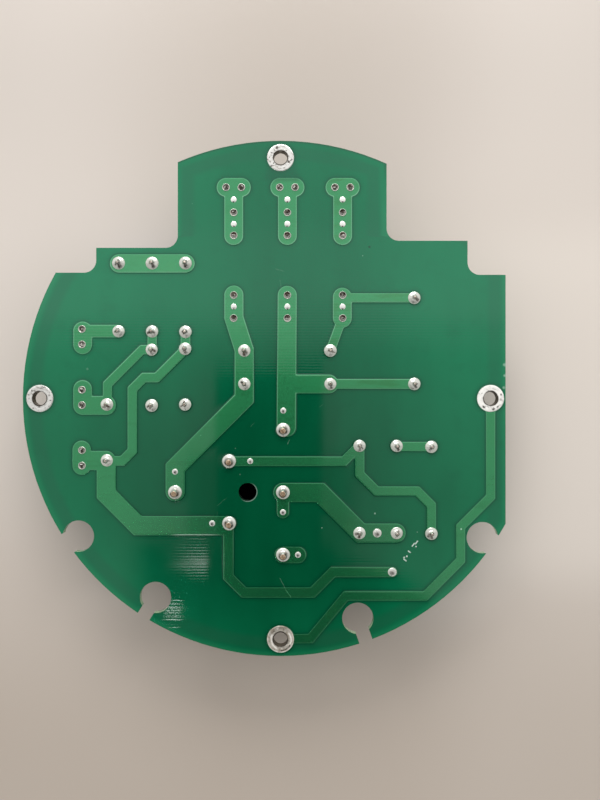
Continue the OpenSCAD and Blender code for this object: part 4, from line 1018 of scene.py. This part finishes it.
def winding(name, a0, replaced):
    core_z, core_h, wr, gap = 1.5 + 1.8 + 0.15, 14.4, 0.9, 0.1
    top = core_z + core_h
    ro, ri = PIN_OUT + 0.1, PIN_IN - 0.1
    zb, zt, b = core_z - gap - wr + 0.05, top + gap + wr, 2.4
    mid, zm = (ro + ri) / 2, (zb + zt) / 2
    loop = [(ro, zm), (ro, zt - b), (ro - 0.7, zt - 0.7), (ro - b, zt), (mid, zt), (ri + b, zt), (ri + 0.7, zt - 0.7), (ri, zt - b),
            (ri, zm), (ri, zb + b), (ri + 0.7, zb + 0.7), (ri + b, zb), (mid, zb), (ro - b, zb), (ro - 0.7, zb + 0.7), (ro, zb + b)]
    n = 16 * 5 + 8
    ctrl = [(PIN_OUT, a0, z) for z in (-SEAT - 2.04, -SEAT - 1.0, -SEAT, 0, zb + 1)]
    ctrl += [(loop[i % 16][0], a0 + 60 * i / n, loop[i % 16][1]) for i in range(n + 1)]
    ctrl += [(PIN_IN, a0 + 60, z) for z in (zb + 1, 0, -SEAT, -SEAT - 1.0, -SEAT - 2.04)]
    P = [(CHOKE[0] + r * math.cos(math.radians(a)), CHOKE[1] + r * math.sin(math.radians(a)), -SEAT - z) for r, a, z in ctrl]
    for k, d in ((0, 0.26), (1, 0.13), (-1, 0.26), (-2, 0.13)):
        P[k] = (P[k][0], P[k][1] - d, P[k][2])
    v, f, c = sweep(curve(P, 4), wr, 16, lambda p: 1.0 if p[2] > -2.6 else 0.0, slant=0.03, seed=int(a0))
    return piece(name, v, f, COPPER, replaced, attrs=[("tin", c)])


winding("winding_one", 180, ("choke_winding_1", "choke_wire_ends"))
winding("winding_two", 60, ("choke_winding_2",))
winding("winding_three", 300, ("choke_winding_3",))

_parts = []
for _k, (_x, _y) in enumerate(CAP_PADS):
    _parts.append(sweep([(_x, _y, z) for z in (-SEAT, -1.0, 0.0, 1.0, 1.5, 1.83)], 0.4, 14, cuts=(False, True), slant=0.10, seed=300 + _k))
_v, _f, _c = merge(_parts)
piece("capacitor_lead_wires", _v, _f, LEAD, ("capacitor_leads",), attrs=[("tin", _c)])

_parts = []
for _k, _pair in enumerate(RESISTORS):
    _mid = (_pair[0][1] + _pair[1][1]) / 2
    for _s, (_x, _y) in enumerate(_pair):
        _dir = -1 if _y > _mid else 1
        _zc, _rb = -SEAT - 2.7, 1.2
        _path = [(_x, _y, z) for z in (1.83, 1.2, 0.0, -1.5, -2.6)]
        _path += [(_x, _y + _dir * _rb * (1 - math.cos(g)), _zc + _rb - _rb * math.sin(g)) for g in np.linspace(0, math.pi / 2, 8)]
        _end = _mid - _dir * 5.9
        _path += [(_x, _y + (_end - _y) * q, _zc) for q in (0.6, 0.8, 1.0)]
        _parts.append(sweep(_path, 0.4, 14, cuts=(True, False), slant=0.10, seed=400 + 2 * _k + _s))
_v, _f, _c = merge(_parts)
piece("resistor_lead_wires", _v, _f, LEAD, ("resistor_leads",), attrs=[("tin", _c)])


# ---------------------------------------------------------------- resistors
def resistor(name, pair, node):
    cx, cy = (pair[0][0] + pair[1][0]) / 2, (pair[0][1] + pair[1][1]) / 2
    zc = -SEAT - 2.7
    prof = curve([(0.42, -6.0), (1.2, -5.96), (1.8, -5.7), (2.25, -5.2), (2.47, -4.5), (2.47, -3.8), (2.34, -3.3), (2.2, -2.8),
                  (2.18, -1.4), (2.18, 1.4), (2.2, 2.8), (2.34, 3.3), (2.47, 3.8), (2.47, 4.5), (2.25, 5.2), (1.8, 5.7), (1.2, 5.96), (0.42, 6.0)], 5)
    rings = [(-4.6, -3.8, (0.35, 0.02, 0.01)), (-2.4, -1.6, (0.02, 0.02, 0.02)), (-0.6, 0.2, (0.45, 0.17, 0.01)), (1.4, 2.2, (0.55, 0.38, 0.08))]
    n = 36
    verts, col, faces = [], [], []
    for r, y in prof:
        c = (0, 0, 0, 0.0)
        for lo, hi, rgb in rings:
            if lo <= y <= hi:
                c = (*rgb, 1.0)
        for k in range(n):
            a = 2 * math.pi * k / n
            verts.append((cx + r * math.cos(a), cy + y, zc + r * math.sin(a)))
            col.append(c)
    for i in range(len(prof) - 1):
        for k in range(n):
            faces.append((i * n + k, (i + 1) * n + k, (i + 1) * n + (k + 1) % n, i * n + (k + 1) % n))
    faces.append(tuple(range(n)))
    faces.append(tuple((len(prof) - 1) * n + k for k in reversed(range(n))))
    return piece(name, verts, faces, RES, (node,), attrs=[("band", col)])


for _i, _r in enumerate(RESISTORS):
    resistor("resistor_body_%d" % (_i + 1), _r, "bleed_resistor_%d" % (_i + 1))


# ---------------------------------------------------------------- capacitor cases
def box_of(*names):
    P = np.array([tuple(nodes[n].matrix_world @ v.co) for n in names for v in nodes[n].data.vertices]) / MM
    return P.min(0), P.max(0)


def round_rect(hx, hy, r, k, foot):
    """Loop of (x, y, 1 at a foot) round a rectangle; each corner and a foot's length beside it stand higher."""
    out = []
    for q, (sx, sy) in enumerate(((1, 1), (-1, 1), (-1, -1), (1, -1))):
        for i in range(k + 1):
            a = math.pi / 2 * (q + i / k)
            out.append((sx * (hx - r) + r * math.cos(a), sy * (hy - r) + r * math.sin(a), 1))
        ux, uy = -math.sin(math.pi / 2 * (q + 1)), math.cos(math.pi / 2 * (q + 1))
        x, y, _ = out[-1]
        side = 2 * ((hx if q % 2 == 0 else hy) - r)
        for d, up in ((foot, 1), (foot + 0.15, 0), (side - foot - 0.15, 0), (side - foot, 1)):
            out.append((x + ux * d, y + uy * d, up))
    return out


def case(name, node, mat):
    """A moulded box: feet and a rim on the board side round the potting, drafted walls, rounded far end with two pin marks."""
    lo, hi = box_of(node)
    c = (lo + hi) / 2
    hx, hy = (hi[0] - lo[0]) / 2, (hi[1] - lo[1]) / 2
    zt, zb = hi[2], lo[2]
    rings = [(0.95, -1.1, 0), (0.90, -0.50, 1), (0.14, -0.50, 1), (0.05, -0.58, 1), (0.02, -0.8, 0), (0.03, -1.6, 0), (0.05, -1.75, 0), (0.16, -1.9, 0),
             (0.17, -2.1, 0)]
    verts, faces = [], []
    for inset, dz, foot in rings:
        for x, y, up in round_rect(hx - inset, hy - inset, max(0.25, 1.0 - inset), 6, 1.6):
            verts.append((c[0] + x, c[1] + y, zt + dz + (0.46 if foot and up else 0.0)))
    for inset, dz in ((0.30, 1.0), (0.34, 0.62), (0.42, 0.34), (0.58, 0.13), (0.80, 0.03), (1.05, 0.0)):
        for x, y, up in round_rect(hx - inset, hy - inset, max(0.25, 1.1 - inset), 6, 1.6):
            verts.append((c[0] + x, c[1] + y, zb + dz))
    n = len(round_rect(hx, hy, 1.0, 6, 1.6))
    m = len(verts) // n
    faces.append(tuple(range(n)))
    for i in range(m - 1):
        for k in range(n):
            q = (k + 1) % n
            faces.append((i * n + k, (i + 1) * n + k, (i + 1) * n + q, i * n + q))
    # far end: flat, with two shallow round marks
    base = (m - 1) * n
    pts = [Vector(verts[base + k][:2]) for k in range(n)]
    edges = [(k, (k + 1) % n) for k in range(n)]
    depth = [0.0] * n
    off = (0.0, 0.55 * hy) if hy > hx else (0.55 * hx, 0.0)
    rm = 0.30 * min(hx, hy)
    for sg in (-1, 1):
        for r, d in ((rm, 0.0), (rm - 0.12, 0.10)):
            b = len(pts)
            pts += [Vector((c[0] + sg * off[0] + r * math.cos(2 * math.pi * k / 32), c[1] + sg * off[1] + r * math.sin(2 * math.pi * k / 32))) for k in range(32)]
            edges += [(b + k, b + (k + 1) % 32) for k in range(32)]
            depth += [d] * 32
    out = delaunay_2d_cdt(pts, edges, [], 1, 1e-5)
    where = []
    for v, src in zip(out[0], out[3]):
        j = src[0]
        if j < n:
            where.append(base + j)
        else:
            where.append(len(verts))
            verts.append((v[0], v[1], zb + depth[j]))
    for f in out[2]:
        P = [verts[where[i]] for i in f]
        ar = sum(P[i][0] * P[(i + 1) % len(P)][1] - P[(i + 1) % len(P)][0] * P[i][1] for i in range(len(P)))
        idx = tuple(where[i] for i in f)
        faces.append(idx[::-1] if ar > 0 else idx)
    o = piece(name, verts, faces, mat, (node,))
    o.data.set_sharp_from_angle(angle=math.radians(34))
    return o


for _i in range(1, 7):
    case("line_cap_case_%d" % _i, "line_capacitor_%d" % _i, CAP_GREY)
for _i in (1, 2, 3):
    case("star_cap_case_%d" % _i, "star_capacitor_%d" % _i, CAP_BLUE)


# ---------------------------------------------------------------- outlines printed on the component side
def strip(loop, width, inward):
    """A closed printed line along a loop, as a thin raised band."""
    m = len(loop)
    z0, z1 = -BOARD_T + 0.01, -BOARD_T - 0.068
    a = [(x, y) for x, y in loop]
    b = [(x + dx * width, y + dy * width) for (x, y), (dx, dy) in zip(loop, inward)]
    verts = [(x, y, z0) for x, y in a] + [(x, y, z0) for x, y in b] + [(x, y, z1) for x, y in b] + [(x, y, z1) for x, y in a]
    faces = [(i + j * m, i + ((j + 1) % 4) * m, (i + 1) % m + ((j + 1) % 4) * m, (i + 1) % m + j * m) for j in range(4) for i in range(m)]
    return verts, [f[::-1] for f in faces], [(0, 0, 0, 1)] * len(verts)


def outline(lo, hi, gap):
    cx, cy = (lo[0] + hi[0]) / 2, (lo[1] + hi[1]) / 2
    lp = [(cx + x, cy + y) for x, y, _ in round_rect((hi[0] - lo[0]) / 2 + gap, (hi[1] - lo[1]) / 2 + gap, 0.5, 4, 1.6)]
    inn = [(x, y) for x, y, _ in round_rect((hi[0] - lo[0]) / 2 + gap - 0.22, (hi[1] - lo[1]) / 2 + gap - 0.22, 0.28, 4, 1.6)]
    return strip(lp, 1.0, [(cx + x - u, cy + y - v) for (x, y), (u, v) in zip(inn, lp)])


_lines = [outline(*box_of(*["line_capacitor_%d" % i for i in grp]), 0.45) for grp in ((1, 2), (3,), (4, 5, 6))]
_lines.append(outline(*box_of("star_capacitor_1", "star_capacitor_2", "star_capacitor_3"), 0.45))
for _i in (1, 2, 3):
    _lines.append(outline(*box_of("bleed_resistor_%d" % _i), 0.35))
    _lines.append(outline(*box_of("fuse_clip_%d_upper" % _i, "fuse_clip_%d_lower" % _i), 0.55))
_lo, _hi = box_of("choke_base")
_rr = (_hi[0] - _lo[0]) / 2 + 0.6
_ring = [(math.cos(2 * math.pi * k / 120), math.sin(2 * math.pi * k / 120)) for k in range(120)]
_lines.append(strip([((_lo[0] + _hi[0]) / 2 + _rr * x, (_lo[1] + _hi[1]) / 2 + _rr * y) for x, y in _ring], 0.22, [(-x, -y) for x, y in _ring]))
_v, _f, _c = merge(_lines)
piece("component_outlines", _v, _f, INK, smooth=False)


# ---------------------------------------------------------------- printed ticks beside the capacitors
def tick(cx, cy, length, width, angle):
    a0 = math.radians(angle)
    ux, uy = math.cos(a0), math.sin(a0)
    n = 9
    loop = []
    for s in (1, -1):
        for k in range(n):
            a = -math.pi / 2 + math.pi * k / (n - 1)
            lx, ly = s * (length / 2 - width / 2 + width / 2 * math.cos(a)), s * width / 2 * math.sin(a)
            loop.append((cx + lx * ux - ly * uy, cy + lx * uy + ly * ux))
    m = len(loop)
    verts = [(x, y, -0.01) for x, y in loop] + [(x, y, 0.022) for x, y in loop]
    verts += [(cx + (x - cx) * 0.86, cy + (y - cy) * 0.86, 0.028) for x, y in loop]
    faces = [(i + j * m, (i + 1) % m + j * m, (i + 1) % m + (j + 1) * m, i + (j + 1) * m) for j in (0, 1) for i in range(m)]
    faces.append(tuple(2 * m + i for i in range(m)))
    faces.append(tuple(reversed(range(m))))
    return verts, faces, [(0, 0, 0, 1)] * len(verts)


_marks = [tick(44.35, -47.0, 1.5, 0.42, 52), tick(43.3, -47.75, 1.5, 0.42, 52), tick(44.2, -48.3, 0.5, 0.46, 52),
          tick(42.0, -50.0, 1.2, 0.44, 142), tick(41.2, -51.5, 0.62, 0.58, 52), tick(40.3, -51.9, 0.62, 0.58, 52), tick(40.6, -52.7, 1.3, 0.42, 142)]
_v, _f, _c = merge(_marks)
piece("printed_ticks", _v, _f, INK)

# ---------------------------------------------------------------- CAD nodes that stay
dress("board_laminate", MASK, 0.20, 1)
dress("component_side_pads", PAD_TIN)
for _i in (1, 2, 3):
    dress("input_tab_%d" % _i, TAB_TIN, 0.10)
    dress("output_tab_%d" % _i, TAB_TIN, 0.10)
    for _k in ("upper", "lower"):
        dress("fuse_clip_%d_%s" % (_i, _k), CLIP_TIN, 0.08)
    dress("fuse_%d_tube" % _i, CERAMIC)
    dress("fuse_%d_end_caps" % _i, CAP_NICKEL, 0.18, 3)
dress("choke_base", BLACK, 0.25, 3)
dress("choke_separator_hub", BLACK, 0.2, 2)
dress("choke_separator_arms", BLACK, 0.2, 2)
dress("choke_core", CORE, 0.3, 3)

# ---------------------------------------------------------------- floor, light, camera
_fl = bpy.data.meshes.new("floor")
_s = 3.0
_z = -22.0 * MM
_fl.from_pydata([(-_s, -_s, _z), (_s, -_s, _z), (_s, _s, _z), (-_s, _s, _z)], [], [(0, 1, 2, 3)])
_fl.materials.append(mat_floor())
floor = bpy.data.objects.new("floor", _fl)
scene.collection.objects.link(floor)


def area(name, loc, aim, size, power, color=(1, 1, 1)):
    li = bpy.data.lights.new(name, "AREA")
    li.shape = "RECTANGLE"
    li.size, li.size_y = size
    li.energy = power
    li.color = color
    o = bpy.data.objects.new(name, li)
    o.location = loc
    o.rotation_euler = (Vector(aim) - Vector(loc)).to_track_quat("-Z", "Y").to_euler()
    scene.collection.objects.link(o)
    return o


area("key", (-0.02, 0.50, 0.30), (0, 0.0, 0), (0.46, 0.24), 2.45, (1.0, 0.985, 0.965))

w = bpy.data.worlds.new("studio")
scene.world = w
w.use_nodes = True
t = w.node_tree
bg = t.nodes["Background"]
# a soft pale surround with dark flags and two small bright cards overhead
sep = put(t, "ShaderNodeSeparateXYZ", Vector=t.nodes.new("ShaderNodeTexCoord").outputs["Generated"]).outputs
zz = math_n(t, "MAXIMUM", sep[2], 0.05)
px, py = math_n(t, "DIVIDE", sep[0], zz), math_n(t, "DIVIDE", sep[1], zz)
far = math_n(t, "SQRT", add(t, mul(t, px, px), mul(t, py, py)))
south = math_n(t, "MULTIPLY", py, -1.0)
base = add(t, remap(t, far, 0.42, 1.2, 0.50, 0.80), remap(t, py, 0.09, 0.19, 0.0, 0.80), remap(t, py, 0.19, 0.34, 0.0, -0.46),
           remap(t, py, 0.0, -0.20, 0.0, -0.10))
flag_a = mul(t, remap(t, px, -0.153, -0.141), remap(t, px, 0.046, 0.034), remap(t, py, 0.060, 0.050))
flag_b = mul(t, remap(t, px, -0.205, -0.185), remap(t, px, 0.115, 0.065), remap(t, py, -0.080, -0.110), 0.62)
right = add(t, remap(t, south, 0.272, 0.305, 0.065, 0.180, smooth=False), math_n(t, "MAXIMUM", add(t, south, -0.305), 0.0))
flag_c = mul(t, remap(t, math_n(t, "SUBTRACT", px, right), 0.03, -0.02), remap(t, px, -0.32, -0.25), remap(t, south, 0.225, 0.262), remap(t, south, 1.05, 0.72), remap(t, south, 0.37, 0.44, 1.0, 0.80))
dark = math_n(t, "MAXIMUM", flag_a, math_n(t, "MAXIMUM", flag_b, flag_c))
lamp = mul(t, remap(t, px, -0.246, -0.172), remap(t, px, -0.1575, -0.1635), remap(t, south, 0.268, 0.276), remap(t, south, 0.296, 0.286))
glint = mul(t, remap(t, px, -0.2370, -0.2290), remap(t, px, -0.2040, -0.2080), remap(t, south, 0.3605, 0.3630), remap(t, south, 0.3685, 0.3660))
lum = mul(t, base, inv(t, mul(t, dark, 0.995)), remap(t, sep[2], 0.0, 0.3, 2.1, 1.0))
lum = add(t, lum, lamp, glint)
t.links.new(mix_col(t, lum, (0.0, 0.0, 0.0), (1.0, 0.985, 0.965)), bg.inputs["Color"])
t.links.new(add(t, 1.0, mul(t, lamp, 3.2), mul(t, glint, 22.0)), bg.inputs["Strength"])

cam = bpy.data.cameras.new("camera")
cam.lens = 26
cam.sensor_width = 36
cam.clip_start = 0.01
camera = bpy.data.objects.new("camera", cam)
camera.location = (0.00636, -0.00052, 0.1884)
scene.collection.objects.link(camera)
scene.camera = camera
scene.view_settings.view_transform = "Standard"
